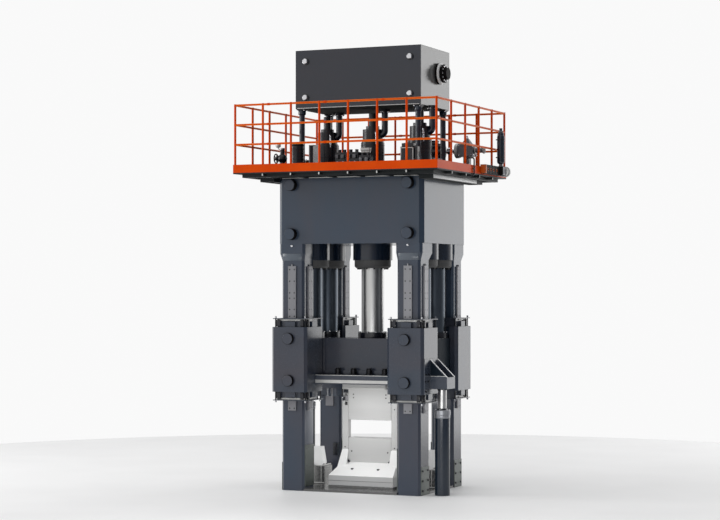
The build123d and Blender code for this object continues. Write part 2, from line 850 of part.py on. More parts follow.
with BuildPart() as platform_frame:
    with BuildSketch(Plane.XY.offset(crown_top)):
        with GridLocations(front_pitch, 1, front_bays - 1, 1):
            Rectangle(joist_w, 2 * joist_half_y)
        for side in (-1, 1):
            with Locations((0, side * edge_y)):
                Rectangle(2 * edge_x, edge_beam_w)
            with Locations((side * edge_x, 0)):
                Rectangle(edge_beam_w, 2 * joist_half_y)
        with Locations([(0, 0)] + corner_spots):
            Circle(neck_r + 2 * body_gap, mode=Mode.SUBTRACT)
    extrude(amount=joist_top - crown_top)
    for side in (-1, 1):
        with BuildSketch(Plane.XY.offset(crown_top - outrigger_drop)):
            inner_x = crown_w / 2 + seat_gap
            with Locations((side * (inner_x + outrigger_out) / 2, 0)):
                Rectangle(outrigger_out - inner_x, 2 * outrigger_half_y)
                Rectangle(
                    outrigger_out - inner_x - 2 * joist_w,
                    2 * outrigger_half_y - 2 * joist_w,
                    mode=Mode.SUBTRACT,
                )
        extrude(amount=joist_top - crown_top + outrigger_drop)
    bracket_reach = edge_beam_inset - toe_t
    bracket_y = joist_half_y + bracket_reach / 2
    bracket_x = edge_x + (edge_beam_w + bracket_reach) / 2
    with BuildSketch(Plane.XY.offset(joist_top)):
        for side in (-1, 1):
            with Locations((0, side * bracket_y)):
                with GridLocations(front_pitch, 1, front_bays - 1, 1):
                    Rectangle(bracket_t, bracket_reach)
            with Locations((side * bracket_x, 0)):
                with GridLocations(1, side_pitch, 1, side_bays - 1):
                    Rectangle(bracket_reach, bracket_t)
    extrude(amount=-bracket_h)
platform_frame.part.label = "platform_frame"
export_step(platform_frame.part, "parts/platform_frame.step")

rail_high = deck_top + rail_high_h
rail_heights = (deck_top + rail_low_h, deck_top + rail_mid_h, rail_high)

for side_name, sy in (("front", -1), ("back", 1)):
    with BuildPart() as railing:
        with BuildSketch(Plane((0, sy * post_half_y, deck_top))):
            with GridLocations(front_pitch, 1, front_bays + 1, 1):
                Circle(rail_post_r)
        extrude(amount=rail_high + rail_post_r - deck_top)
        with BuildSketch(Plane.YZ.offset(-post_half_x)):
            with Locations([(sy * post_half_y, z) for z in rail_heights]):
                Circle(rail_tube_r)
        extrude(amount=2 * post_half_x)
        with BuildSketch(Plane.XY.offset(deck_top)):
            with Locations((0, sy * (platform_half_d - toe_t / 2))):
                Rectangle(2 * platform_half_w, toe_t)
        extrude(amount=toe_h)
    railing.part.label = f"railing_{side_name}"
    export_step(railing.part, f"parts/railing_{side_name}.step")

side_rail_end = post_half_y - rail_post_r - seat_gap
for side_name, sx in (("left", -1), ("right", 1)):
    with BuildPart() as railing:
        with BuildSketch(Plane((sx * post_half_x, 0, deck_top))):
            with GridLocations(1, side_pitch, 1, side_bays - 1):
                Circle(rail_post_r)
        extrude(amount=rail_high + rail_post_r - deck_top)
        with BuildSketch(Plane.XZ.offset(-side_rail_end)):
            with Locations([(sx * post_half_x, z) for z in rail_heights]):
                Circle(rail_tube_r)
        extrude(amount=2 * side_rail_end)
        with BuildSketch(Plane.XY.offset(deck_top)):
            with Locations((sx * (platform_half_w - toe_t / 2), 0)):
                Rectangle(toe_t, 2 * (platform_half_d - toe_t - seat_gap))
            with Locations((sx * post_half_x, -post_half_y), (sx * post_half_x, post_half_y)):
                Circle(rail_post_r + seat_gap, mode=Mode.SUBTRACT)
        extrude(amount=toe_h)
    railing.part.label = f"railing_{side_name}"
    export_step(railing.part, f"parts/railing_{side_name}.step")


# Oil tank on four legs
lid_bottom = tank_bottom + tank_h
with BuildPart() as tank_shell:
    with BuildSketch(Plane.XY.offset(tank_bottom)):
        Rectangle(tank_w, tank_d)
    extrude(amount=tank_h)
    with BuildSketch(Plane.XY.offset(tank_bottom + tank_wall)):
        Rectangle(tank_w - 2 * tank_wall, tank_d - 2 * tank_wall)
    extrude(amount=tank_h - tank_wall, mode=Mode.SUBTRACT)
tank_shell.part.label = "tank_shell"
export_step(tank_shell.part, "parts/tank_shell.step")

with BuildPart() as tank_lid:
    with BuildSketch(Plane.XY.offset(lid_bottom)):
        Rectangle(tank_w, tank_d)
    extrude(amount=lid_t)
tank_lid.part.label = "tank_lid"
export_step(tank_lid.part, "parts/tank_lid.step")

with BuildPart() as tank_legs:
    with BuildSketch(Plane.XY.offset(deck_top)):
        with Locations(leg_spots):
            Circle(tank_leg_r)
    extrude(amount=tank_bottom - deck_top)
    with BuildSketch(Plane.XY.offset(tank_bottom)):
        with Locations(leg_spots):
            Rectangle(leg_flange_w, leg_flange_w)
    extrude(amount=-leg_flange_t)
tank_legs.part.label = "tank_legs"
export_step(tank_legs.part, "parts/tank_legs.step")

knob_spots = [
    (side * knob_x, tank_bottom + height)
    for side in (-1, 1)
    for height in (knob_low, knob_high)
]
with BuildPart() as tank_knobs:
    with BuildSketch(Plane.XZ.offset(tank_d / 2)):
        with Locations(knob_spots):
            Circle(knob_r)
    extrude(amount=knob_out)
    chamfer(tank_knobs.edges().group_by(Axis.Y)[0], length=knob_r / 5)
tank_knobs.part.label = "tank_knobs"
export_step(tank_knobs.part, "parts/tank_knobs.step")

port_plane = Plane(origin=(tank_w / 2, port_y, port_z), x_dir=(0, 1, 0), z_dir=(1, 0, 0))
with BuildPart() as tank_port:
    with BuildSketch(port_plane):
        Circle(port_r)
    extrude(amount=port_t)
    with BuildSketch(port_plane.offset(port_t)):
        Circle(port_neck_r)
    extrude(amount=port_neck_h)
    with BuildSketch(port_plane.offset(port_t + port_neck_h)):
        Circle(port_cover_r)
    extrude(amount=port_cover_t)
    with BuildSketch(port_plane.offset(port_t + port_neck_h + port_cover_t)):
        with PolarLocations((port_cover_r + port_hub_r) / 2, port_bolt_count):
            RegularPolygon(port_bolt_r, 6)
    extrude(amount=port_bolt_r)
    with BuildSketch(port_plane.offset(port_t + port_neck_h + port_cover_t)):
        Circle(port_hub_r)
    extrude(amount=port_out - port_t - port_neck_h - port_cover_t)
tank_port.part.label = "tank_port"
export_step(tank_port.part, "parts/tank_port.step")


# Prefill valves on three cylinders, plain caps on the other two
valve_spots = [(0, 0), (-corner_cyl_x, corner_cyl_y), (corner_cyl_x, -corner_cyl_y)]
valve_mid_bottom = valve_seat_z + valve_low_h + valve_groove_h
valve_mid_top = valve_mid_bottom + valve_mid_h

with BuildPart() as prefill_valves:
    for x, y in valve_spots:
        with BuildSketch(Plane(origin=(x, y, 0), x_dir=(1, 0, 0), z_dir=(0, -1, 0))):
            with BuildLine():
                Polyline(
                    (0, valve_seat_z),
                    (valve_low_r, valve_seat_z),
                    (valve_low_r, valve_seat_z + valve_low_h),
                    (valve_groove_r, valve_seat_z + valve_low_h),
                    (valve_groove_r, valve_mid_bottom),
                    (valve_mid_r, valve_mid_bottom),
                    (valve_mid_r, valve_mid_top),
                    (valve_cap_r, valve_mid_top),
                    (valve_cap_r, valve_mid_top + valve_cap_h),
                    (valve_stem_r, valve_mid_top + valve_cap_h),
                    (valve_stem_r, valve_mid_top + valve_cap_h + valve_stem_h),
                    (0, valve_mid_top + valve_cap_h + valve_stem_h),
                    close=True,
                )
            make_face()
        revolve(axis=Axis((x, y, 0), (0, 0, 1)))
prefill_valves.part.label = "prefill_valves"
export_step(prefill_valves.part, "parts/prefill_valves.step")

with BuildPart() as suction_pipes:
    for x, y in valve_spots:
        pipe_x = x + pipe_offset
        with BuildLine(Plane.XZ.offset(-y)) as pipe_route:
            Line((pipe_x, tank_bottom), (pipe_x, pipe_low + pipe_turn_r))
            RadiusArc(
                (pipe_x, pipe_low + pipe_turn_r),
                (pipe_x - pipe_turn_r, pipe_low),
                pipe_turn_r,
            )
        with BuildSketch(Plane(origin=(pipe_x, y, tank_bottom), z_dir=(0, 0, -1))):
            Circle(pipe_r)
        sweep(path=pipe_route.wires()[0])
        with BuildSketch(Plane((x, y, valve_seat_z))):
            Circle(valve_mid_r + seat_gap)
        extrude(amount=tank_bottom - valve_seat_z, mode=Mode.SUBTRACT)
suction_pipes.part.label = "suction_pipes"
export_step(suction_pipes.part, "parts/suction_pipes.step")

cap_spots = [(-corner_cyl_x, -corner_cyl_y), (corner_cyl_x, corner_cyl_y)]
with BuildPart() as cylinder_caps:
    with BuildSketch(Plane.XY.offset(valve_seat_z)):
        with Locations(cap_spots):
            Circle(cap_r)
    extrude(amount=cap_h)
    chamfer(cylinder_caps.edges().group_by(Axis.Z)[-1], length=cap_r / 8)
cylinder_caps.part.label = "cylinder_caps"
export_step(cylinder_caps.part, "parts/cylinder_caps.step")


# Motor and pump, joined by a turning shaft
motor_y = 900
motor_h = 463
motor_z = deck_top + motor_h
motor_r = 135
motor_start = 670
motor_end = 1015
shaft_r = 28
shaft_depth = 40
hub_r = 62
hub_w = 80
pump_start = 1250
pump_flange_r = 130
pump_flange_t = 70
pump_end = 1600
pump_half_w = 110
pump_top_h = 100
nozzle_r = 42
nozzle_end = 1790
stand_w = 220

axis_start = Plane(origin=(motor_start, motor_y, motor_z), x_dir=(0, 1, 0), z_dir=(1, 0, 0))
motor_length = motor_end - motor_start
with BuildPart() as motor:
    with BuildSketch(axis_start):
        Circle(motor_r)
    extrude(amount=motor_length)
    fin_count = 9
    with BuildSketch(axis_start.offset(motor_length / 8)):
        with PolarLocations(motor_r, 2 * fin_count):
            Rectangle(motor_r / 9, motor_r / 9)
    extrude(amount=motor_length * 3 / 4)
    with BuildSketch(Plane(((motor_start + motor_end) / 2, motor_y, deck_top))):
        Rectangle(stand_w, stand_w)
    extrude(amount=motor_z - motor_r - deck_top + motor_r / 4)
    with BuildSketch(axis_start.offset(motor_length - shaft_depth)):
        Circle(shaft_r + seat_gap)
    extrude(amount=shaft_depth, mode=Mode.SUBTRACT)
motor.part.label = "motor"
export_step(motor.part, "parts/motor.step")

pump_plane = Plane(origin=(pump_start, motor_y, motor_z), x_dir=(0, 1, 0), z_dir=(1, 0, 0))
pump_mid_x = (pump_start + pump_flange_t + pump_end) / 2
with BuildPart() as pump:
    with BuildSketch(pump_plane):
        Circle(pump_flange_r)
    extrude(amount=pump_flange_t)
    with BuildSketch(pump_plane.offset(pump_flange_t)):
        Rectangle(2 * pump_half_w, 2 * pump_half_w)
    extrude(amount=pump_end - pump_start - pump_flange_t)
    with BuildSketch(Plane((pump_mid_x, motor_y, motor_z + pump_half_w))):
        Rectangle(pump_half_w * 1.6, pump_half_w * 1.6)
    with BuildSketch(Plane((pump_mid_x, motor_y, motor_z + pump_half_w + pump_top_h))):
        Rectangle(pump_half_w / 2, pump_half_w / 2)
    loft()
    with BuildSketch(pump_plane.offset(pump_end - pump_start)):
        Circle(nozzle_r)
    extrude(amount=nozzle_end - pump_end)
    with BuildSketch(pump_plane.offset(nozzle_end - pump_start)):
        Circle(nozzle_r * 1.5)
    extrude(amount=-nozzle_r / 2)
    with BuildSketch(Plane((pump_mid_x, motor_y, deck_top))):
        Rectangle(stand_w / 2, stand_w / 2)
    extrude(amount=motor_z - pump_half_w - deck_top)
    with BuildSketch(pump_plane):
        Circle(shaft_r + seat_gap)
    extrude(amount=shaft_depth, mode=Mode.SUBTRACT)
pump.part.label = "pump"
export_step(pump.part, "parts/pump.step")

shaft_start = motor_end - shaft_depth + rod_gap
shaft_length = pump_start + shaft_depth - rod_gap - shaft_start
shaft_plane = Plane(origin=(shaft_start, motor_y, motor_z), x_dir=(0, 1, 0), z_dir=(1, 0, 0))
with BuildPart() as pump_shaft:
    with BuildSketch(shaft_plane):
        Circle(shaft_r)
    extrude(amount=shaft_length)
    with BuildSketch(shaft_plane.offset((shaft_length - hub_w) / 2)):
        Circle(hub_r)
        with PolarLocations(hub_r, 4):
            Circle(hub_r / 6, mode=Mode.SUBTRACT)
    extrude(amount=hub_w)
pump_shaft.part.label = "pump_shaft"
export_step(pump_shaft.part, "parts/pump_shaft.step")


# Stop valve with a handwheel
stop_x = -1500
stop_y = -600
stop_valve_h = 308
stop_z = deck_top + stop_valve_h
stop_stem_r = 50
stop_ball_r = 85
bonnet_r = 42
bonnet_reach = 110
spindle_r = 14
spindle_end = 170
wheel_r = 82
wheel_rim_r = 12
wheel_hub_r = 26
wheel_hub_w = 30
spoke_count = 5
spoke_w = 16

with BuildPart() as stop_valve:
    with BuildSketch(Plane((stop_x, stop_y, deck_top))):
        Circle(stop_stem_r * 1.6)
    extrude(amount=stop_stem_r / 2)
    with BuildSketch(Plane((stop_x, stop_y, deck_top))):
        Circle(stop_stem_r)
    extrude(amount=stop_z - deck_top)
    with Locations((stop_x, stop_y, stop_z)):
        Sphere(stop_ball_r)
    bonnet_plane = Plane(origin=(stop_x, stop_y, stop_z), x_dir=(0, -1, 0), z_dir=(-1, 0, 0))
    with BuildSketch(bonnet_plane):
        Circle(bonnet_r)
    extrude(amount=bonnet_reach)
    with BuildSketch(bonnet_plane):
        Circle(spindle_r)
    extrude(amount=spindle_end)
    with BuildSketch(Plane((stop_x, stop_y, stop_z))):
        Circle(bonnet_r)
    extrude(amount=stop_ball_r * 2.2)
stop_valve.part.label = "stop_valve"
export_step(stop_valve.part, "parts/stop_valve.step")

wheel_start = bonnet_reach + rod_gap
with BuildPart() as handwheel:
    with BuildSketch(bonnet_plane.offset(wheel_start)):
        Circle(wheel_hub_r)
    extrude(amount=wheel_hub_w)
    with BuildSketch(bonnet_plane.offset(wheel_start + wheel_hub_w / 4)):
        with PolarLocations(wheel_r / 2, spoke_count):
            Rectangle(wheel_r, spoke_w)
    extrude(amount=wheel_hub_w / 2)
    with BuildSketch(Plane(origin=bonnet_plane.origin, x_dir=(-1, 0, 0), z_dir=(0, 0, 1))):
        with Locations((wheel_start + wheel_hub_w / 2, wheel_r)):
            RegularPolygon(wheel_rim_r, 8)
    revolve(axis=Axis(bonnet_plane.origin, (1, 0, 0)))
    with BuildSketch(bonnet_plane.offset(wheel_start)):
        Circle(spindle_r + seat_gap)
    extrude(amount=wheel_hub_w, mode=Mode.SUBTRACT)
handwheel.part.label = "handwheel"
export_step(handwheel.part, "parts/handwheel.step")


# Small equipment on the deck: oil filter, oil cooler and valve blocks
filter_x = -1130
filter_y = -760
filter_r = 118
filter_h = 520
cooler_x = -860
cooler_y = -640
cooler_w = 100
cooler_d = 200
cooler_h = 510
fin_groove = 12

with BuildPart() as oil_care:
    with BuildSketch(Plane((filter_x, filter_y, deck_top))):
        Circle(filter_r)
    extrude(amount=filter_h)
    chamfer(oil_care.edges().group_by(Axis.Z)[-1], length=filter_r / 10)
    with BuildSketch(Plane((cooler_x, cooler_y, deck_top))):
        Rectangle(cooler_w, cooler_d)
        with GridLocations(cooler_w / 3, cooler_d, 3, 2):
            Rectangle(fin_groove, cooler_d / 4, mode=Mode.SUBTRACT)
    extrude(amount=cooler_h)
oil_care.part.label = "filter_and_cooler"
export_step(oil_care.part, "parts/filter_and_cooler.step")

# Each valve block: x, y, width, depth, height
valve_block_sizes = [
    (-450, -330, 190, 160, 400),
    (-200, -380, 230, 150, 400),
    (60, -450, 210, 150, 330),
    (1090, -950, 240, 200, 420),
]
with BuildPart() as valve_blocks:
    for x, y, width, depth, height in valve_block_sizes:
        with BuildSketch(Plane((x, y, deck_top))):
            block_outline = Rectangle(width, depth)
            chamfer(block_outline.vertices(), length=body_gap)
        extrude(amount=height)
        with BuildSketch(Plane((x, y, deck_top + height))):
            with GridLocations(width / 2, 1, 2, 1):
                Circle(depth / 5)
        extrude(amount=depth / 3)
valve_blocks.part.label = "valve_blocks"
export_step(valve_blocks.part, "parts/valve_blocks.step")


# Manifold, accumulator and side valve outside the right railing
manifold_inset = 614
manifold_length = 750
manifold_end_y = platform_half_d - manifold_inset
manifold_start_y = manifold_end_y - manifold_length
manifold_w = 95
manifold_rise = 13
manifold_bottom = deck_top + manifold_rise
manifold_h = 160
port_hole_r = 34
port_hole_count = 4
port_pitch = 150
end_block_w = 150
end_block_d = 160
acc_r = 60
acc_reach = 85
acc_h = 620
acc_cap_r = 28
acc_cap_h = 75
side_valve_r = 62
side_valve_flange_r = 95
side_valve_length = 160
flange_t = 24

manifold_x = platform_half_w + seat_gap
acc_x = manifold_x + acc_reach
side_valve_x = manifold_x + side_valve_flange_r
side_valve_start = manifold_end_y + end_block_d
manifold_plane = Plane(origin=(manifold_x, 0, 0), x_dir=(0, 1, 0), z_dir=(1, 0, 0))
manifold_mid_z = manifold_bottom + manifold_h / 2
with BuildPart() as port_manifold:
    with BuildSketch(manifold_plane):
        with Locations(((manifold_start_y + manifold_end_y) / 2, manifold_mid_z)):
            Rectangle(manifold_end_y - manifold_start_y, manifold_h)
    extrude(amount=manifold_w)
    with BuildSketch(manifold_plane):
        with Locations((manifold_end_y + end_block_d / 2, manifold_mid_z)):
            Rectangle(end_block_d, manifold_h)
    extrude(amount=end_block_w)
    with BuildSketch(manifold_plane.offset(manifold_w)):
        with Locations(((manifold_start_y + manifold_end_y) / 2, manifold_mid_z)):
            with GridLocations(port_pitch, 1, port_hole_count, 1):
                Circle(port_hole_r)
    extrude(amount=-manifold_w / 2, mode=Mode.SUBTRACT)
port_manifold.part.label = "port_manifold"
export_step(port_manifold.part, "parts/port_manifold.step")

acc_y = manifold_end_y + end_block_d / 2
acc_bottom = manifold_bottom + manifold_h
with BuildPart() as accumulator:
    with BuildSketch(Plane((acc_x, acc_y, acc_bottom))):
        Circle(acc_r / 2)
    extrude(amount=acc_r)
    with BuildSketch(Plane((acc_x, acc_y, acc_bottom + acc_r))):
        Circle(acc_r)
    extrude(amount=acc_h - acc_r)
    fillet(accumulator.edges().filter_by(GeomType.CIRCLE).group_by(Axis.Z)[-1], radius=acc_r / 2)
    with BuildSketch(Plane((acc_x, acc_y, acc_bottom + acc_h))):
        Circle(acc_cap_r)
    extrude(amount=acc_cap_h)
accumulator.part.label = "accumulator"
export_step(accumulator.part, "parts/accumulator.step")

side_plane = Plane(
    origin=(side_valve_x, side_valve_start, manifold_mid_z), x_dir=(-1, 0, 0), z_dir=(0, 1, 0)
)
with BuildPart() as side_valve:
    with BuildSketch(side_plane):
        Circle(side_valve_r)
    extrude(amount=side_valve_length)
    with BuildSketch(side_plane):
        Circle(side_valve_flange_r)
    extrude(amount=flange_t)
    with BuildSketch(side_plane.offset(side_valve_length - flange_t)):
        Circle(side_valve_flange_r)
    extrude(amount=flange_t)
side_valve.part.label = "side_valve"
export_step(side_valve.part, "parts/side_valve.step")
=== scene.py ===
# %% [markdown]
# # A four-column hydraulic press
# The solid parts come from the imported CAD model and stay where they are. This lesson gives
# them their finishes, and adds the small pieces that a plain solid leaves out: screws, bolts,
# scrapers, fittings, pipes and seams. X runs left to right, Y front to back and Z up, in metres.

# %% Load the press
import math

import bpy
from mathutils import Matrix, Vector


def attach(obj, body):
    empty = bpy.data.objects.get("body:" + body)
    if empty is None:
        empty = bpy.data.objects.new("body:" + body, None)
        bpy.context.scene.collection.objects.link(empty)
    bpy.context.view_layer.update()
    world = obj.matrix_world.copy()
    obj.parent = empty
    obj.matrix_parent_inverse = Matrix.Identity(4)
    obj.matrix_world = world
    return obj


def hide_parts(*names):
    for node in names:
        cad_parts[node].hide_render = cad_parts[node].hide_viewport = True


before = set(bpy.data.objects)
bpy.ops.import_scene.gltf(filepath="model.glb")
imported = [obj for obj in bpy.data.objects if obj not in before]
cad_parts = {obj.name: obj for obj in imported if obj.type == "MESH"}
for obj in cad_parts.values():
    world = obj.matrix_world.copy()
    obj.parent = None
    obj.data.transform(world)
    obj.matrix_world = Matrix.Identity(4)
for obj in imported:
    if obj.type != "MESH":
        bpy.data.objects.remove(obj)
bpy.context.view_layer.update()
bpy.ops.object.select_all(action="DESELECT")

# %% [markdown]
# ## Camera
# The photograph was taken level, from the front right and far away, so upright edges stay
# parallel. A long lens at the same distance gives the same view, and the small shifts place
# the press in the picture as it is in the photograph.

# %% Place the camera
camera_data = bpy.data.cameras.new("photo_camera")
camera_data.sensor_fit = "HORIZONTAL"
camera_data.sensor_width = 36.0
camera_data.lens = 97.825
camera_data.shift_x = -0.00625
camera_data.shift_y = 0.03874
camera_data.clip_end = 200.0
camera = bpy.data.objects.new("photo_camera", camera_data)
camera.location = (13.854, -32.069, 3.5674)
camera.rotation_euler = (math.radians(90.0), 0.0, math.radians(23.607))
bpy.context.scene.collection.objects.link(camera)
bpy.context.scene.camera = camera
bpy.context.scene.view_settings.view_transform = "Standard"
print("camera at", list(camera.location), "lens", camera_data.lens)

# %% [markdown]
# ## Shader nodes
# The sky, the floor and all finishes are built from shader nodes. One helper adds a node and
# joins or sets its sockets, and a second one makes a colour ramp.

# %% Connect shader nodes
def node(tree, kind, sockets, output, **settings):
    """Adds a node. A socket is joined to another node's output or set to a value."""
    made = tree.nodes.new("ShaderNode" + kind)
    for setting, value in settings.items():
        setattr(made, setting, value)
    for socket, value in sockets.items():
        if isinstance(value, bpy.types.NodeSocket):
            tree.links.new(value, made.inputs[socket])
        else:
            made.inputs[socket].default_value = value
    return made.outputs[output]


def ramp(tree, amount, places, colours, way="LINEAR"):
    """A colour that changes from the first to the second as the amount rises."""
    tone = node(tree, "ValToRGB", {"Fac": amount}, "Color")
    tone.node.color_ramp.interpolation = way
    for element, place, colour in zip(tone.node.color_ramp.elements, places, colours):
        element.position = place
        element.color = (*colour, 1.0)
    return tone


print("shader helpers are ready")

# %% [markdown]
# ## Studio
# A white sky lights everything softly. It is dimmer towards the front right, so that round
# chrome shows a soft grey band there. One large panel of light stands behind the press on its
# right, where glossy paint on the right-hand faces mirrors it, so those faces look pale while
# the front stays dark. A second panel on the left shapes the rods. A low one in front and a
# small one between the front columns reach the dies.

# %% Light the studio
world = bpy.data.worlds.new("white_studio")
world.use_nodes = True
sky_tree = world.node_tree
sky_place = node(sky_tree, "TexCoord", {}, "Generated")
dim_side = node(sky_tree, "VectorMath", {0: sky_place, 1: (0.93, -0.36, 0.0)}, "Value",
                operation="DOT_PRODUCT")
sky_tone = ramp(sky_tree, dim_side, (0.25, 0.85), ((1.0, 1.0, 1.0), (0.22, 0.23, 0.25)), "EASE")
sky = sky_tree.nodes["Background"]
sky.inputs["Strength"].default_value = 0.95
sky_tree.links.new(sky_tone, sky.inputs["Color"])
bpy.context.scene.world = world


def light_panel(name, place, aim, width, height, power):
    """A soft rectangular light that the camera doesn't see."""
    panel_data = bpy.data.lights.new(name, "AREA")
    panel_data.shape = "RECTANGLE"
    panel_data.size = width
    panel_data.size_y = height
    panel_data.energy = power
    panel = bpy.data.objects.new(name, panel_data)
    panel.location = place
    panel.rotation_euler = (Vector(aim) - Vector(place)).to_track_quat("-Z", "Y").to_euler()
    panel.visible_camera = False
    bpy.context.scene.collection.objects.link(panel)
    return panel


# name, place, aim, width, height, power
panels = [
    ("right_back_panel", (7.5, 15.0, 6.0), (0.0, 0.0, 5.5), 7.0, 14.0, 415.0),
    ("left_front_panel", (-16.0, -6.0, 8.0), (0.0, 0.0, 4.0), 7.0, 8.0, 850.0),
    ("low_front_panel", (2.6, -8.0, 1.4), (0.0, 0.0, 0.6), 4.6, 1.0, 90.0),
    ("die_panel", (0.0, -0.95, 1.5), (0.0, -0.1, 0.3), 1.2, 0.25, 7.0),
]
for panel in panels:
    light_panel(*panel)
print("lights:", [light.name for light in bpy.data.lights])

# %% [markdown]
# ## Floor
# The floor is a wide pale disc, which reads as a studio floor from every side. A faint cloudy
# tone keeps it from looking like bare paper.

# %% Lay the floor
bpy.ops.mesh.primitive_cylinder_add(vertices=128, radius=13.0, depth=0.3, location=(0.0, 0.0, -0.15))
floor = bpy.context.object
floor.name = "studio_floor"
floor_paint = bpy.data.materials.new("pale_floor")
floor_paint.use_nodes = True
floor_tree = floor_paint.node_tree
floor_place = node(floor_tree, "TexCoord", {}, "Object")
floor_noise = node(floor_tree, "TexNoise", {"Vector": floor_place, "Scale": 0.6}, "Fac")
floor_tone = ramp(floor_tree, floor_noise, (0.0, 1.0), ((0.8, 0.8, 0.8), (0.88, 0.88, 0.88)))
floor_shader = floor_tree.nodes["Principled BSDF"]
floor_shader.inputs["Roughness"].default_value = 0.55
floor_tree.links.new(floor_tone, floor_shader.inputs["Base Color"])
floor.data.materials.append(floor_paint)
print("floor size:", [round(side, 2) for side in floor.dimensions])

# %% [markdown]
# ## Finishes
# Nearly everything on the press is painted or machined steel. Each finish is one material
# made the same way: a cloudy noise varies the colour, a fine one roughens the surface, and the
# edges, found by comparing the true normal with a rounded one, are rubbed to a lighter tone.
# A finish differs from the next in its colours, gloss and grain, so one function makes all.

# %% Make a finish
def finish(name, colour, second, gloss, metal=0.0, wear=None, wear_share=0.5, grain=90.0,
           bump=0.08, stretch=(1.0, 1.0, 1.0), cloud=1.1, edge=0.006, shine=0.5):
    """A painted or machined surface: cloudy colour, fine grain, rubbed edges."""
    made = bpy.data.materials.new(name)
    made.use_nodes = True
    tree = made.node_tree
    place = node(tree, "TexCoord", {}, "Object")
    place = node(tree, "Mapping", {"Vector": place, "Scale": stretch}, "Vector")
    clouds = node(tree, "TexNoise", {"Vector": place, "Scale": cloud, "Detail": 5.0, "Roughness": 0.6}, "Fac")
    tone = ramp(tree, clouds, (0.33, 0.68), (colour, second))
    fine = node(tree, "TexNoise", {"Vector": place, "Scale": grain, "Detail": 3.0}, "Fac")
    speckle = node(tree, "MapRange", {"Value": fine, "From Min": 0.3, "From Max": 0.7,
                                      "To Min": gloss - 0.05, "To Max": gloss + 0.07}, "Result")
    rounded = node(tree, "Bevel", {"Radius": edge}, "Normal", samples=4)
    relief = node(tree, "Bump", {"Strength": bump, "Distance": 0.004, "Height": fine, "Normal": rounded},
                  "Normal")
    if wear is not None:
        surface = node(tree, "NewGeometry", {}, "Normal")
        likeness = node(tree, "VectorMath", {0: surface, 1: rounded}, "Value", operation="DOT_PRODUCT")
        on_edge = node(tree, "MapRange", {"Value": likeness, "From Min": 0.985, "From Max": 0.8}, "Result")
        broken = node(tree, "MapRange", {"Value": clouds, "From Min": 0.35, "From Max": 0.62,
                                         "To Min": 0.25 * wear_share, "To Max": wear_share}, "Result")
        rubbed = node(tree, "Math", {0: on_edge, 1: broken}, "Value", operation="MULTIPLY")
        tone = node(tree, "Mix", {"Factor": rubbed, "A": tone, "B": (*wear, 1.0)}, "Result", data_type="RGBA")
    shader = tree.nodes["Principled BSDF"]
    shader.inputs["Specular IOR Level"].default_value = shine
    shader.inputs["Metallic"].default_value = metal
    tree.links.new(tone, shader.inputs["Base Color"])
    tree.links.new(speckle, shader.inputs["Roughness"])
    tree.links.new(relief, shader.inputs["Normal"])
    return made


slate = finish("slate_paint", (0.025, 0.043, 0.07), (0.043, 0.044, 0.06), 0.2, bump=0.03,
               wear=(0.16, 0.17, 0.19), stretch=(1.0, 1.0, 0.35), cloud=0.8)
slide_slate = finish("slide_paint", (0.026, 0.041, 0.064), (0.043, 0.042, 0.055), 0.22, bump=0.03,
                     wear=(0.17, 0.18, 0.19), stretch=(0.5, 1.0, 1.0), cloud=0.9)
tank_slate = finish("tank_paint", (0.005, 0.009, 0.02), (0.011, 0.01, 0.018), 0.18, bump=0.03,
                    wear=(0.15, 0.15, 0.17), stretch=(0.7, 0.7, 1.0), cloud=0.9, shine=0.62)
navy = finish("navy_paint", (0.005, 0.01, 0.024), (0.009, 0.018, 0.03), 0.16,
              wear=(0.04, 0.05, 0.08), stretch=(1.0, 1.0, 0.2), shine=0.6)
black = finish("black_paint", (0.004, 0.005, 0.009), (0.01, 0.011, 0.018), 0.22,
               wear=(0.08, 0.08, 0.09), edge=0.004)
matt_black = finish("matt_black_paint", (0.003, 0.003, 0.004), (0.01, 0.008, 0.007), 0.55,
                    wear=(0.05, 0.05, 0.05), edge=0.004, shine=0.08)
black_bolt = finish("blackened_bolts", (0.008, 0.008, 0.01), (0.016, 0.016, 0.019), 0.38,
                    metal=0.6, wear=(0.12, 0.12, 0.13), edge=0.002, grain=300.0)
oiled = finish("oiled_gland_steel", (0.07, 0.07, 0.07), (0.095, 0.095, 0.094), 0.62,
               wear=(0.14, 0.13, 0.12), stretch=(1.0, 1.0, 4.0), shine=0.25)
print("paints:", len(bpy.data.materials))

# %% [markdown]
# ## Bare metal
# The rods are hard chrome, the guide rails and dies are ground steel. Ground steel shows a
# fine grain along the way it was ground, so its noise is stretched that way. The die faces
# look almost white in the photograph, because they mirror the bright studio; the near-white
# steel below has that reflection painted into its colour.

# %% Make the bare metals
chrome = finish("rod_chrome", (0.48, 0.48, 0.475), (0.55, 0.55, 0.54), 0.31, metal=1.0,
                grain=60.0, bump=0.01, stretch=(1.0, 1.0, 0.05), cloud=2.0)
rail_steel = finish("rail_steel", (0.17, 0.17, 0.185), (0.24, 0.24, 0.255), 0.4, metal=0.3,
                    wear=(0.7, 0.7, 0.7), grain=140.0, stretch=(1.0, 1.0, 0.12), edge=0.003)
# Near-white steel: a painted reflection of the bright studio, also used as painted light on shaded parts.
die_steel = finish("die_steel", (0.88, 0.88, 0.87), (0.97, 0.97, 0.96), 0.36,
                   wear=(0.9, 0.9, 0.89), grain=120.0, stretch=(0.1, 1.0, 1.0), edge=0.004)
lower_steel = finish("lower_die_steel", (0.47, 0.47, 0.465), (0.57, 0.57, 0.56), 0.4,
                     wear=(0.9, 0.9, 0.89), grain=120.0, stretch=(0.1, 1.0, 1.0), edge=0.004)
bolster_steel = finish("bolster_steel", (0.1, 0.1, 0.1), (0.22, 0.22, 0.22), 0.22, metal=0.8,
                       wear=(0.6, 0.6, 0.6), stretch=(0.1, 1.0, 1.0), edge=0.004)
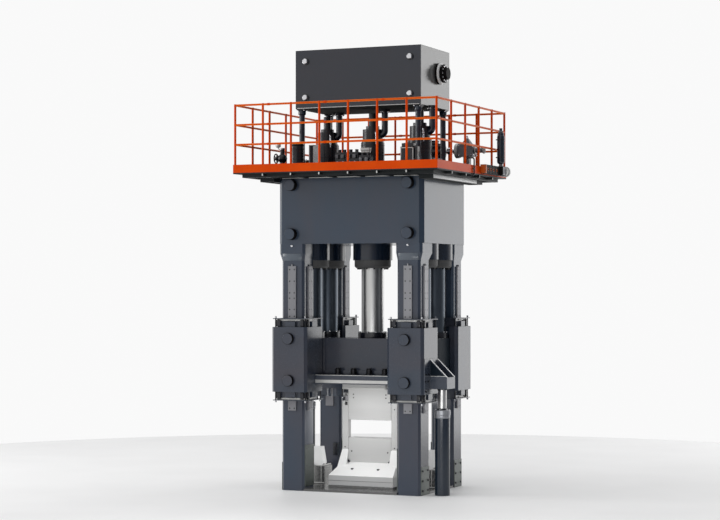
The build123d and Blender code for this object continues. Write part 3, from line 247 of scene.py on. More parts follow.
wedge_steel = finish("wedge_steel", (0.13, 0.13, 0.13), (0.3, 0.3, 0.29), 0.24, metal=0.8,
                     wear=(0.75, 0.75, 0.74), stretch=(1.0, 1.0, 0.2), edge=0.004)
liner_steel = finish("foot_plate_steel", (0.05, 0.062, 0.057), (0.1, 0.115, 0.105), 0.32,
                     metal=0.4, wear=(0.3, 0.31, 0.3), stretch=(1.0, 0.3, 1.0), edge=0.004)
head_steel = finish("lift_head_steel", (0.22, 0.23, 0.25), (0.3, 0.31, 0.33), 0.3, metal=0.5,
                    wear=(0.5, 0.5, 0.5), edge=0.004)
bright_knob = finish("bright_turned_steel", (0.55, 0.55, 0.57), (0.68, 0.68, 0.7), 0.2,
                     metal=1.0, wear=(0.8, 0.8, 0.8), edge=0.003, grain=200.0)
pale_steel = finish("pale_machined_steel", (0.46, 0.46, 0.45), (0.66, 0.66, 0.64), 0.35,
                    metal=0.2, wear=(0.85, 0.85, 0.84), edge=0.003, grain=160.0)
grey_casting = finish("grey_casting", (0.12, 0.125, 0.14), (0.19, 0.195, 0.21), 0.38,
                      wear=(0.4, 0.4, 0.42), edge=0.004, grain=220.0, bump=0.2)
print("metals added, materials now:", len(bpy.data.materials))

# %% [markdown]
# ## Orange paint and deck steel
# The railing's safety orange is the only bright colour. It is paler where it is rubbed at its
# edges. The deck and its joists are dark rolled steel. A near-black finish paints the shade in
# holes, slots and sockets, and colours joints dark. Port sleeves are rusty.

# %% Make the platform finishes
orange = finish("orange_paint", (0.6, 0.048, 0.0), (0.68, 0.07, 0.0), 0.34,
                wear=(0.75, 0.2, 0.03), wear_share=0.35, edge=0.003, grain=150.0, shine=0.07)
deck_steel = finish("deck_steel", (0.008, 0.01, 0.011), (0.018, 0.021, 0.022), 0.5,
                    wear=(0.1, 0.1, 0.1), grain=70.0, bump=0.15, shine=0.2)
# Near-black: painted shade in holes, slots and sockets, and the colour of dark joints.
dark_painted_shade_and_joints = finish("sockets_painted_shade_and_joints", (0.01, 0.01, 0.012), (0.02, 0.02, 0.022), 0.5,
                    metal=0.3, edge=0.001, grain=300.0)
rust_orange = finish("rust_orange", (0.42, 0.07, 0.008), (0.55, 0.12, 0.015), 0.35,
                     wear=(0.6, 0.35, 0.2), edge=0.003, shine=0.2)
print("platform finishes added, materials now:", len(bpy.data.materials))

# %% [markdown]
# Some pieces have two tones, and both are painted light and shade. The corner rods mirror the
# dark columns close round them; that dark reflection is painted, so they look almost black
# beside the bright centre rod. The railing is painted yellower on top, where the light falls, the
# tank's ends are painted greyer than its front as a painted reflection, and the shoe's sloping
# apron is brighter than its upright front, which is painted darker as shade. Three plain finishes
# for thin trim follow: a matt navy for painted shade, a paler slate for painted light bands and a
# matt grey for painted shade under the tank.

# %% Paint light and shade into the tone by place
def paint_light_by_place(material, name, second, share, limits, use_normal=False):
    """A copy of a finish with painted light and shade: it goes over to a second tone by its place or by its
    normal.
    """
    made = material.copy()
    made.name = name
    tree = made.node_tree
    colour = tree.nodes["Principled BSDF"].inputs["Base Color"]
    where = node(tree, "TexCoord", {}, "Normal" if use_normal else "Object")
    along = node(tree, "VectorMath", {0: where, 1: share}, "Value", operation="DOT_PRODUCT")
    size = node(tree, "Math", {0: along}, "Value", operation="ABSOLUTE")
    amount = node(tree, "MapRange", {"Value": size, "From Min": limits[0], "From Max": limits[1]}, "Result")
    first = colour.links[0].from_socket
    tone = node(tree, "Mix", {"Factor": amount, "A": first, "B": (*second, 1.0)}, "Result", data_type="RGBA")
    tree.links.new(tone, colour)
    return made


# The rods away from the middle are painted dark: a painted reflection of the dark columns round them.
rod_chrome_painted_reflection = paint_light_by_place(chrome, "rod_chrome_painted_dark_reflection", (0.085, 0.1, 0.12), (1.0, 0.0, 0.0), (0.4, 0.6))
# The shoe's upright faces are painted darker than its apron: painted shade.
shoe_steel_painted_shade = paint_light_by_place(die_steel, "die_shoe_steel_painted_shade", (0.5, 0.5, 0.5), (0.0, 1.0, 0.0), (0.93, 0.98), True)
# The railing's upward faces are painted yellower: painted light from above.
orange_painted_top_light = paint_light_by_place(orange, "railing_orange_painted_top_light", (0.88, 0.22, 0.02), (0.0, 0.0, 1.0), (0.25, 0.85), True)
# The tank's ends are painted paler than its front: a painted reflection of the light on the right.
tank_paint_painted_side_light = paint_light_by_place(tank_slate, "tank_paint_painted_pale_ends", (0.09, 0.092, 0.091),
                         (1.0, 0.0, 0.0), (0.5, 0.9), True)
# Matt navy for painted shade in the rib recesses and on the beam's ends.
navy_painted_shade = finish("matt_navy_painted_shade", (0.006, 0.011, 0.018), (0.01, 0.017, 0.024), 0.6, shine=0.1)
# Paler slate for the painted light bands on the column heads.
slate_painted_light = finish("slope_painted_light", (0.075, 0.095, 0.12), (0.095, 0.105, 0.125), 0.22, bump=0.03)
# Matt grey for the painted shade under the tank.
grey_painted_shade = finish("underside_painted_shade", (0.035, 0.037, 0.036), (0.055, 0.057, 0.056), 0.85, shine=0.02)
print("finishes:", len(bpy.data.materials))

# %% [markdown]
# Every CAD node gets its finish by name.

# %% Paint the CAD nodes
corners = ("front_left", "front_right", "back_left", "back_right")
nodes_of_finish = [
    (slate, ["crown", "crown_pins"] + ["column_" + corner for corner in corners]),
    (slide_slate, ["housing_pins", "slide_beam", "slide_plate", "lift_arms", "wiper_frames"]),
    (slide_slate, ["housing_" + corner for corner in corners]),
    (bolster_steel, ["base_plate", "bolster"]),
    (rail_steel, ["guide_rails"]),
    (navy, ["press_barrels", "lift_tubes", "column_box", "suction_pipes", "accumulator"]),
    (oiled, ["gland_rings"]),
    (black_bolt, ["gland_bolts", "slide_nuts"]),
    (rod_chrome_painted_reflection, ["press_rods"]),
    (chrome, ["lift_rods"]),
    (bright_knob, ["wiper_bolts", "tank_knobs", "pump_shaft"]),
    (lower_steel, ["upper_die", "lower_die", "die_posts"]),
    (shoe_steel_painted_shade, ["lower_die_shoe"]),
    (wedge_steel, ["wedge_bases"]),
    # The side wedges take the near-white steel, which paints light onto their shaded faces.
    (die_steel, ["side_wedges"]),
    (liner_steel, ["foot_plates"]),
    (head_steel, ["lift_heads"]),
    (deck_steel, ["platform_deck", "platform_frame"]),
    (orange_painted_top_light, ["railing_front", "railing_back", "railing_left", "railing_right"]),
    (tank_paint_painted_side_light, ["tank_shell", "tank_lid"]),
    (black, ["rod_rings", "tank_legs", "prefill_valves", "cylinder_caps", "motor", "stop_valve"]),
    (black, ["handwheel", "filter_and_cooler", "valve_blocks"]),
    (matt_black, ["tank_port", "port_manifold"]),
    (grey_casting, ["pump"]),
    (pale_steel, ["side_valve"]),
]
finished = []
for material, names in nodes_of_finish:
    for name in names:
        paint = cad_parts[name].data.materials
        paint.clear()
        paint.append(material)
        finished.append(name)
missing = sorted(set(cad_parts) - set(finished))
print("finished nodes:", len(finished), "without a finish:", missing)

# %% [markdown]
# ## Tools for the small pieces
# A few helpers make nearly every small piece. A block is a cube set to its size, with rounded
# edges. A turned piece starts as a flat polygon, which is pulled up step by step and widened or
# narrowed at each step, like a profile on a lathe. With six sides it is a bolt head.

# %% Make a block
def apply_place():
    """Makes the turn, size and place of the chosen piece part of its mesh."""
    bpy.ops.object.transform_apply(location=True, rotation=True, scale=True)


def block(low, high, bevel=0.004):
    """A block between two corners, with rounded edges."""
    bpy.ops.object.select_all(action="DESELECT")
    middle = [(a + b) / 2 for a, b in zip(low, high)]
    bpy.ops.mesh.primitive_cube_add(size=1.0, location=middle)
    piece = bpy.context.object
    piece.scale = [b - a for a, b in zip(low, high)]
    apply_place()
    softened = piece.modifiers.new("rounded_edges", "BEVEL")
    softened.width = bevel
    softened.segments = 2
    bpy.ops.object.modifier_apply(modifier=softened.name)
    return piece


sample = block((0.0, 0.0, 0.0), (0.3, 0.2, 0.1))
print("a block has", len(sample.data.polygons), "faces")
bpy.ops.object.delete()

# %% Turn a round piece
def open_mesh():
    """Opens the chosen piece's mesh for editing, with all of it selected."""
    bpy.ops.object.mode_set(mode="EDIT")
    bpy.ops.mesh.select_all(action="SELECT")


def close_mesh():
    """Turns the faces of the whole mesh outwards and closes it."""
    bpy.ops.mesh.select_all(action="SELECT")
    bpy.ops.mesh.normals_make_consistent(inside=False)
    bpy.ops.object.mode_set(mode="OBJECT")


quarter = math.pi / 2
turn_to = {"Z": (0.0, 0.0, 0.0), "-Z": (math.pi, 0.0, 0.0), "X": (0.0, quarter, 0.0),
           "-X": (0.0, -quarter, 0.0), "Y": (-quarter, 0.0, 0.0), "-Y": (quarter, 0.0, 0.0)}


def turned(steps, place=(0.0, 0.0, 0.0), axis="Z", sides=24):
    """A turned piece from (height, radius) steps, standing at a place along an axis."""
    bpy.ops.object.select_all(action="DESELECT")
    bpy.ops.mesh.primitive_circle_add(vertices=sides, radius=steps[0][1], fill_type="NGON",
                                      location=(0.0, 0.0, steps[0][0]))
    piece = bpy.context.object
    apply_place()
    open_mesh()
    for (low, wide), (high, wider) in zip(steps, steps[1:]):
        lift = (0.0, 0.0, high - low)
        bpy.ops.mesh.extrude_region_move(TRANSFORM_OT_translate={"value": lift})
        bpy.ops.transform.resize(value=(wider / wide, wider / wide, 1.0))
    close_mesh()
    piece.rotation_euler = turn_to[axis]
    piece.location = place
    apply_place()
    return piece


def head(radius, height):
    """The steps of a bolt head with a bevelled top."""
    return [(-0.002, radius), (height * 0.8, radius), (height, radius * 0.82)]


def bolt(radius, height, axis="Z", place=(0.0, 0.0, 0.0)):
    """A hexagon bolt head."""
    return turned(head(radius, height), place, axis, 6)


print("a bolt head has", len(bolt(0.02, 0.015).data.polygons), "faces")
bpy.ops.object.delete()

# %% [markdown]
# A pipe starts as a ring of points at its first end. The ring is pulled along each straight run
# and spun round each bend, and the two open ends are closed.

# %% Run a pipe
def pipe(points, radius, bend=0.05, sides=12, steps=5):
    """A round pipe through the points, with a bend at each inner one."""
    points = [Vector(point) for point in points]
    run = (points[1] - points[0]).normalized()
    bpy.ops.object.select_all(action="DESELECT")
    bpy.ops.mesh.primitive_circle_add(vertices=sides, radius=radius, location=points[0],
                                      rotation=run.to_track_quat("Z", "Y").to_euler())
    piece = bpy.context.object
    apply_place()
    open_mesh()
    here = points[0]
    for corner, following in zip(points[1:-1], points[2:]):
        out = (following - corner).normalized()
        turn = run.angle(out)
        cut = bend * math.tan(turn / 2)
        bend_start = corner - run * cut
        bpy.ops.mesh.extrude_region_move(TRANSFORM_OT_translate={"value": bend_start - here})
        axis = run.cross(out).normalized()
        centre = bend_start + axis.cross(run) * bend
        bpy.ops.mesh.spin(steps=steps, angle=-turn, center=centre, axis=axis)
        here = corner + out * cut
        run = out
    bpy.ops.mesh.extrude_region_move(TRANSFORM_OT_translate={"value": points[-1] - here})
    bpy.ops.mesh.select_all(action="SELECT")
    bpy.ops.mesh.fill_holes(sides=0)
    close_mesh()
    return piece


sample = pipe([(0.0, 0.0, 0.0), (0.0, 0.0, 0.5), (0.5, 0.0, 0.5)], 0.02)
print("a bent pipe has", len(sample.data.polygons), "faces")
bpy.ops.object.delete()


# %% [markdown]
# Equal pieces are made once. Each copy gets its own mesh and its place, and the copies are
# joined into one piece, so that a row of screws is one name. Settling a piece gives it a name,
# a finish, smooth shading between its sharp edges, and the CAD body that it moves with.

# %% Copy, join and settle
def joined(parts):
    """Several pieces as one."""
    bpy.ops.object.select_all(action="DESELECT")
    for part in parts:
        part.select_set(True)
    bpy.context.view_layer.objects.active = parts[0]
    if len(parts) > 1:
        bpy.ops.object.join()
    return bpy.context.object


def repeat(model, spots):
    """A copy of the model at each spot, joined into one piece. The model itself goes."""
    copies = []
    for spot in spots:
        twin = model.copy()
        twin.data = model.data.copy()
        twin.data.transform(Matrix.Translation(spot))
        bpy.context.scene.collection.objects.link(twin)
        copies.append(twin)
    bpy.data.objects.remove(model)
    return joined(copies)


def settle(piece, name, material, body="frame"):
    """Names and paints a finished piece or list of parts, and fixes it to its body."""
    piece = joined(piece if isinstance(piece, list) else [piece])
    piece.name = name
    piece.data.name = name
    piece.data.materials.clear()
    piece.data.materials.append(material)
    bpy.ops.object.shade_smooth_by_angle(angle=math.radians(35.0))
    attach(piece, body)
    return piece


def bright_bolts(name, radius, height, spots, axis="Z"):
    """A set of bright bolts on the frame, as one piece."""
    settle(repeat(bolt(radius, height, axis), spots), name, bright_knob)


print("helpers are ready")

# %% [markdown]
# The press is nearly the same on its two sides, so plates and screws often come in mirrored
# sets. Bolts on round flanges stand on a circle, and some turned pieces are hoops round a pipe.

# %% Set pieces on both sides, in circles and round pipes
across_x = (-1, 1, 1)
across_y = (1, -1, 1)
half_turn = (-1, -1, 1)


def mirrored(steps, sides, axis, spots, signs):
    """Turned pieces at the spots, and at the mirrored spots pointing the other way."""
    other = axis[1:] if axis.startswith("-") else "-" + axis
    other_spots = [[value * sign for value, sign in zip(spot, signs)] for spot in spots]
    return joined([repeat(turned(steps, axis=axis, sides=sides), spots),
                   repeat(turned(steps, axis=other, sides=sides), other_spots)])


def slab(place, half, rise, bevel=0.004):
    """A block round the upright line at a place, from its half sizes and its two heights."""
    (x, y), (half_x, half_y), (low, high) = place, half, rise
    return block((x - half_x, y - half_y, low), (x + half_x, y + half_y, high), bevel)


def pair(axis, far, thick, half, rise, bevel=0.001, shift=0.0):
    """Two plates across the axis, at minus and plus far. Shift is the middle of their width."""
    if axis == "X":
        return [slab((middle, shift), (thick, half), rise, bevel) for middle in (-far, far)]
    return [slab((shift, middle), (half, thick), rise, bevel) for middle in (-far, far)]


def grid(xs, ys, zs):
    """Spots at every mix of the three coordinates."""
    return [(x, y, z) for x in xs for y in ys for z in zs]


def round_about(radius, count, start=0.5):
    """Steps round a circle, as two distances from its centre. Start is a share of a step."""
    turns = [2 * math.pi * (step + start) / count for step in range(count)]
    return [(radius * math.cos(turn), radius * math.sin(turn)) for turn in turns]


def circle_of(places, radius, count, z):
    """Spots on a level circle round each place."""
    return [(x + a, y + b, z) for x, y in places for a, b in round_about(radius, count)]


def hoop(low, height, radius, thick, edge):
    """The steps of a hoop with bevelled edges round a pipe."""
    outer = radius + thick
    return [(low, radius), (low + edge, outer), (low + height - edge, outer), (low + height, radius)]


def upright(steps, places, sides):
    """A turned piece round the upright line at each place. Its steps are heights on the press."""
    return repeat(turned(steps, sides=sides), [(x, y, 0.0) for x, y in places])


def leaned(piece, place, turn):
    """Turns a piece that was made at the origin, and moves it to its place."""
    piece.rotation_euler = turn
    piece.location = place
    apply_place()
    return piece


print("a circle of four:", round_about(1.0, 4))

# %% [markdown]
# Where many small pieces sit on a CAD node, its corners are read from the frame. A piece's face
# is kept a fraction of a millimetre off the node's face, so that no two lie in one plane.

# %% Measure the press
def reach(node):
    """The low and the high corner of a CAD node, to a tenth of a millimetre."""
    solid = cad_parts[node]
    corners = [solid.matrix_world @ Vector(corner) for corner in solid.bound_box]
    low = [round(min(corner[axis] for corner in corners), 4) for axis in range(3)]
    high = [round(max(corner[axis] for corner in corners), 4) for axis in range(3)]
    return low, high


column_x = 1.1
column_y = 0.79
column_xs = (-column_x, column_x)
column_spots = [(x, y) for x in column_xs for y in (-column_y, column_y)]
cylinder_spots = [(0.0, 0.0), (-1.045, 0.34), (1.045, -0.34), (-1.045, -0.34), (1.045, 0.34)]
crown_x, crown_y, crown_top = reach("crown")[1]
deck_top = reach("platform_deck")[1][2]
on_deck = deck_top + 0.0002
print("columns:", column_spots, "crown top:", crown_top, "deck top:", deck_top)

# %% [markdown]
# ## Columns and crown
# Each guide rail is held by pairs of screws, which lie level with its face, so that the slide
# can pass. The rows come closer where two lengths of rail meet.

# %% Screw the guide rails
rail_x, rail_y, rail_top = reach("guide_rails")[1]
screw_rows = [1.45, 1.66, 1.87, 2.08, 2.29, 2.5, 2.71, 2.89, 3.068, 3.188, 3.385, 3.48, 3.685, 3.89]
screw_sides = (-0.045, 0.045)
screw_steps = [(-0.004, 0.013), (0.00015, 0.013), (0.00025, 0.011)]
front_rows = [(x + side, -rail_y, z) for x in column_xs for side in screw_sides for z in screw_rows]
side_rows = [(x + rail_x - column_x, y + side, z)
             for x, y in column_spots for side in screw_sides for z in screw_rows]
rail_screws = [mirrored(screw_steps, 10, "-Y", front_rows, across_y),
               mirrored(screw_steps, 10, "X", side_rows, across_x)]
settle(rail_screws, "rail_screws", black_bolt)
print("rail screws:", 2 * len(front_rows) + 2 * len(side_rows), "up to", rail_top)

# %% [markdown]
# A strip of pale steel on the crown's upper edges, under the joists, is a painted highlight: it
# shows as the bright line where the edge catches the light. The studs on the column heads get bright caps.

# %% Paint highlight strips on the crown's edges
strip_rise = (crown_top + 0.0002, crown_top + 0.018)
strips = pair("Y", crown_y - 0.02, 0.016, 1.3, strip_rise, 0.003)
strips += pair("X", crown_x - 0.02, 0.016, 0.95, strip_rise, 0.003)
settle(strips, "crown_edge_painted_highlights", pale_steel)
stud_spots = grid(column_xs, [-crown_y], [4.304])
stud_caps = mirrored([(0.0, 0.0185), (0.0205, 0.0185), (0.023, 0.014)], 12, "-Y", stud_spots, across_y)
settle(stud_caps, "stud_caps", bright_knob)
print("crown strips:", len(strips))

# %% [markdown]
# Under the crown each column widens over a short slope, which catches the light as a band.
# Thin tilted strips of paler slate paint that light.

# %% Paint light bands on the column heads
slope_height = 0.125
slope_angle = math.atan2(0.015, slope_height)
painted_light_bands = []
for x in column_xs:
    for side in (-1, 1):
        band = block((-0.184, -0.0012, -slope_height / 2), (0.184, 0.0012, slope_height / 2), 0.001)
        place = (x + math.copysign(0.006, x), side * 1.019, 4.1075)
        painted_light_bands.append(leaned(band, place, (-side * slope_angle, 0.0, 0.0)))
settle(painted_light_bands, "column_head_painted_light_bands", slate_painted_light)
print("column head bands:", len(painted_light_bands))

# %% [markdown]
# The pins' turned sides get black sleeves: a painted dark reflection, which shows as dark
# crescents beside the painted faces. Under the deck a bright strip along each outrigger beside
# the crown paints the light on the outrigger's web.

# %% Paint dark reflections on the pins
crown_spots = grid((-1.11, 1.11), [-crown_y - 0.0005], (4.512, 5.375))
dark_reflection_sleeves = mirrored([(0.0, 0.1028), (0.1, 0.1028), (0.108, 0.0995)], 40, "-Y", crown_spots, across_y)
settle(dark_reflection_sleeves, "crown_pin_painted_dark_reflections", matt_black)
housing_spots = grid(column_xs, [-1.1755], (1.942, 2.677))
dark_reflection_sleeves = mirrored([(0.0, 0.1008), (0.055, 0.1008), (0.061, 0.0975)], 40, "-Y", housing_spots, across_y)
settle(dark_reflection_sleeves, "housing_pin_painted_dark_reflections", matt_black, "slide")
# Bright strips along the outriggers paint the light on their webs.
strips = pair("X", 1.6419, 0.0017, 1.05, (5.436, 5.498), shift=-0.15)
settle(strips, "outrigger_painted_light_strips", die_steel)
print("pins blackened:", 2 * len(crown_spots) + 2 * len(housing_spots))

# %% [markdown]
# ## Wiper frames
# Below and above each housing a band of pale steel closes the slate-coloured neck, dark blocks
# clamp the band, and the thin plate beyond it is dark. All of them move with the slide.

# %% Close the wiper necks
bands = []
for x, y in column_spots:
    out = math.copysign(1, y)
    for rise in ((1.601, 1.632), (2.988, 3.019)):
        bands.append(slab((x, y + out * 0.279), (0.272, 0.006), rise, 0.003))
        for rim_x in (x - 0.274, x + 0.274):
            bands.append(slab((rim_x, y + out * 0.092), (0.006, 0.192), rise, 0.003))
settle(bands, "wiper_bands", pale_steel, "slide")
print("wiper bands:", len(bands))

# %% Clamp the wiper bands
clamps = []
for x, y in column_spots:
    out = math.copysign(1, y)
    for rise in ((1.612, 1.736), (2.884, 3.008)):
        for spot_x in (x - 0.225, x + 0.225):
            clamps.append(slab((spot_x, y + out * 0.304), (0.03, 0.019), rise, 0.005))
        for spot_x in (x - 0.2975, x + 0.2975):
            clamps.append(slab((spot_x, y + out * 0.215), (0.0175, 0.03), rise, 0.005))
settle(clamps, "wiper_clamps", black, "slide")
print("wiper clamps:", len(clamps))

# %% Set the long studs
stud_steps = [(0.0, 0.012), (0.172, 0.012), (0.176, 0.009), (0.19, 0.009)]
corners = [(x + a, y + b) for x, y in column_spots for a in (-0.289, 0.289) for b in (-0.309, 0.309)]
studs = [repeat(turned(stud_steps, axis=axis, sides=12), [(x, y, z) for x, y in corners])
         for axis, z in (("Z", 2.8805), ("-Z", 1.7395))]
settle(studs, "wiper_studs", black_bolt, "slide")
print("long studs:", 2 * len(corners))

# %% [markdown]
# ## Slide
# The slide plate has a bright machined band low on its sides, and the seam between the plate
# and the beam shows as a thin pale edge. The nuts on the plate have dark sockets.

# %% Add the slide plate's bright band
plate_x, plate_y, plate_top = reach("slide_plate")[1]
die_x, die_y = reach("upper_die")[1][:2]
band_rise = (1.896, 1.952)
slide_bands = pair("Y", plate_y + 0.001, 0.003, plate_x + 0.002, band_rise, 0.002)
slide_bands += pair("X", plate_x + 0.001, 0.003, plate_y, band_rise, 0.002)
slide_bands += pair("Y", plate_y - 0.0005, 0.004, plate_x + 0.002, (2.028, plate_top - 0.0015), 0.002)
slide_bands += pair("Y", die_y + 0.001, 0.003, die_x + 0.002, (1.774, 1.812), 0.002)
settle(slide_bands, "slide_plate_bands", pale_steel, "slide")
nut_top = reach("slide_nuts")[1][2] + 0.0002
nut_spots = grid((-0.45, -0.15, 0.15, 0.45), (-0.51, 0.51), [nut_top])
socket_model = turned([(-0.004, 0.04), (0.01, 0.04), (0.01, 0.026), (-0.001, 0.024)], sides=12)
settle(repeat(socket_model, nut_spots), "slide_nut_sockets", black_bolt, "slide")
washer_model = turned([(0.0, 0.066), (0.012, 0.066), (0.016, 0.06)], sides=20)
washer_spots = [(x, y, plate_top) for x, y, z in nut_spots]
settle(repeat(washer_model, washer_spots), "slide_nut_washers", black, "slide")
print("nuts on the slide plate:", len(nut_spots))

# %% [markdown]
# Rings clamp the rods to the slide, each with a circle of screws. The screws that would lie
# beyond the beam are left out.

# %% Screw down the rod rings
ring_top = reach("rod_rings")[1][2]
ring_screws = circle_of(cylinder_spots[:1], 0.234, 10, ring_top)
ring_screws += circle_of(cylinder_spots[1:], 0.2165, 10, ring_top)
ring_screws = [(x, y, z) for x, y, z in ring_screws if abs(y) < 0.52]
screw_model = turned([(-0.002, 0.015), (0.014, 0.015), (0.018, 0.011)], sides=10)
settle(repeat(screw_model, ring_screws), "rod_ring_screws", bright_knob, "slide")
print("rod ring screws:", len(ring_screws))

# %% [markdown]
# ## Dies
# The dies are the brightest part. Dark holes, clamps and screws stand out on them. A dark disc
# that lies in the face paints the shade inside a hole: it reads as a hole from a distance and has
# no sharp step to catch on.

# %% Paint the shade of the holes and slots in the dies
die_face = reach("lower_die")[0][1]


def holes(radius, places):
    """Dark discs in the dies' front face, which paint the shade inside holes."""
    model = turned([(-0.004, radius), (0.0008, radius)], axis="-Y", sides=12)
    return repeat(model, [(x, die_face, z) for x, z in places])


settle(holes(0.014, [(-0.349, 0.655), (0.349, 0.645)]), "lower_die_holes", dark_painted_shade_and_joints)
upper_places = [(-0.314, 1.668), (-0.314, 1.61), (0.314, 1.668), (0.314, 1.61)]
settle(holes(0.013, upper_places), "upper_die_holes", dark_painted_shade_and_joints, "slide")
settle(holes(0.012, [(0.479, 1.412), (0.479, 0.726), (-0.479, 0.726)]), "post_holes", dark_painted_shade_and_joints)
# The slots are thin dark plates that paint the shade inside them.
post_slot = slab((-0.455, die_face - 0.001), (0.024, 0.002), (1.47, 1.535), 0.001)
settle(post_slot, "post_slot", dark_painted_shade_and_joints)
slots = pair("X", 0.4165, 0.0035, 0.0025, (0.5, 0.7), shift=die_face - 0.0005)
settle(slots, "die_side_slots", dark_painted_shade_and_joints)
print("slots in the dies:", len(slots) + 1)

# %% Clamp the lower die
clamp_parts = []
for middle in (-0.405, 0.405):
    clamp_parts.append(slab((middle, die_face - 0.0235), (0.03, 0.0215), (0.462, 0.49)))
    clamp_parts.append(bolt(0.016, 0.02, place=(middle, die_face - 0.025, 0.49)))
settle(clamp_parts, "die_clamps", black)
apron_head = [(-0.02, 0.026), (0.01, 0.026), (0.014, 0.022), (0.014, 0.013), (0.008, 0.012)]
for name, y in (("apron_screws", -0.34), ("apron_screws_behind", 0.34)):
    apron_screws = repeat(turned(apron_head, sides=14), [(-0.25, y, 0.355), (0.25, y, 0.355)])
    settle(apron_screws, name, black_bolt)
shoe_x, shoe_y, shoe_top = reach("lower_die_shoe")[1]
seam = pair("Y", shoe_y + 0.0005, 0.001, shoe_x + 0.0005, (0.157, 0.163), 0.0005)
settle(seam, "shoe_seam", dark_painted_shade_and_joints)
print("lower die clamped on a shoe", shoe_top, "high")

# %% [markdown]
# ## Side wedges and feet
# Each wedge runs in a base block between gib strips that three screws hold.

# %% Add gibs to the wedge units
base_top = reach("wedge_bases")[1][2]
base_front = reach("wedge_bases")[0][1]
gibs = []
gib_screws = []
for middle in (-1.07, 1.07):
    for gib_x in (middle - 0.118, middle + 0.118):
        gibs.append(slab((gib_x, 0.1), (0.018, 0.155), (base_top + 0.0002, 0.388)))
        gib_screws += grid([gib_x], (-0.02, 0.1, 0.22), [0.388])
    for line_x in (middle - 0.085, middle - 0.055, middle + 0.085):
        gibs.append(slab((line_x, base_front), (0.005, 0.002), (0.05, base_top - 0.008), 0.001))
    gibs.append(slab((middle, base_front - 0.0005), (0.145, 0.002), (0.05, 0.066), 0.001))
settle(gibs, "wedge_gibs", pale_steel)
head_model = turned([(-0.002, 0.013), (0.012, 0.013), (0.012, 0.008), (0.006, 0.007)], sides=10)
settle(repeat(head_model, gib_screws), "wedge_gib_screws", black_bolt)
print("gib screws:", len(gib_screws))

# %% Bolt the feet down
foot_x = reach("foot_plates")[1][0] - 0.0002
foot_ys = [y + side for y in (-column_y, column_y) for side in (-0.12, 0.12)]
foot_bolts = grid([foot_x], foot_ys, (0.08, 0.25, 0.42))
settle(mirrored(head(0.019, 0.014), 6, "X", foot_bolts, across_x), "foot_plate_bolts", black_bolt)
liner_spots = grid([0.87], foot_ys, (0.14, 0.44, 0.74))
liner_screws = mirrored([(-0.003, 0.012), (0.0006, 0.012)], 10, "-X", liner_spots, across_x)
settle(liner_screws, "liner_screws", dark_painted_shade_and_joints)
box_low, box_high = reach("column_box")
box_lid = block((box_low[0] + 0.008, box_low[1] - 0.0035, box_low[2] + 0.01),
                (box_high[0] - 0.008, box_low[1] + 0.001, box_high[2] - 0.01), 0.002)
settle(box_lid, "column_box_lid", black)
print("foot bolts:", 2 * len(foot_bolts))

# %% [markdown]
# ## Lift cylinders
# Six screws hold each tube's gland head, a wiper ring sits round the rod, and the rod's end is
# held by a nut ring under the arm.

# %% Finish the lift cylinders
lift_x = 1.61
lift_y = -0.71
lift_places = [(lift_x, lift_y), (-lift_x, -lift_y)]
collar = [(1.33, 0.1335), (1.336, 0.136), (1.372, 0.136), (1.384, 0.1335)]
settle(upright(collar, lift_places, 40), "lift_tube_collars", head_steel)
ring = [(1.4702, 0.098), (1.485, 0.098), (1.497, 0.086), (1.497, 0.0745), (1.4702, 0.0745)]
settle(upright(ring, lift_places, 32), "lift_wiper_rings", black)
head_bolts = circle_of(lift_places, 0.118, 6, reach("lift_heads")[1][2])
bright_bolts("lift_head_bolts", 0.013, 0.014, head_bolts)
nut_ring = [(1.812, 0.088), (1.815, 0.094), (1.831, 0.094), (1.8348, 0.088)]
settle(upright(nut_ring, lift_places, 8), "lift_rod_nuts", black, "slide")
top_nut = [(2.0352, 0.058), (2.06, 0.058), (2.066, 0.052), (2.066, 0.034), (2.082, 0.034)]
settle(upright(top_nut, lift_places, 6), "lift_arm_nuts", bright_knob, "slide")
print("lift cylinder screws:", len(head_bolts))

# %% [markdown]
# Each arm's plate is screwed to its housing. Bright strips along the sloping edges of its ribs
# paint the highlight that these edges catch. A rib's strip is a thin bar turned to the rib's slope.

# %% Paint highlights on the rib edges and bolt the arm plates
rib_low = Vector((1.77, 2.036))
rib_high = Vector((1.462, 2.339))
slope = rib_high - rib_low
middle = (rib_low + rib_high) / 2
tilt = math.atan2(slope.y, -slope.x)
strips = []
for turn in (1, -1):
    for edge in (-0.17, 0.17):
        bar = block((-slope.length / 2, -0.0195, -0.003), (slope.length / 2, 0.0195, 0.003), 0.002)
        place = (turn * middle.x, turn * (lift_y + edge), middle.y)
        strips.append(leaned(bar, place, (0.0, tilt * turn, 0.0)))
settle(strips, "rib_edge_painted_highlights", die_steel, "slide")
plate_spots = grid([1.46], (lift_y - 0.4, lift_y - 0.27, lift_y + 0.215), (1.8, 1.97, 2.09))
plate_bolts = mirrored(head(0.016, 0.013), 6, "X", plate_spots, half_turn)
settle(plate_bolts, "arm_plate_bolts", black_bolt, "slide")
print("rib strips:", len(strips))

# %% [markdown]
# The front rib is recessed above the box at its foot. A thin dark plate paints the shade in the
# recess: a block, cut along the rib's slope. Thin dark plates on the ends of the slide beam
# between the housings paint the shade there too.

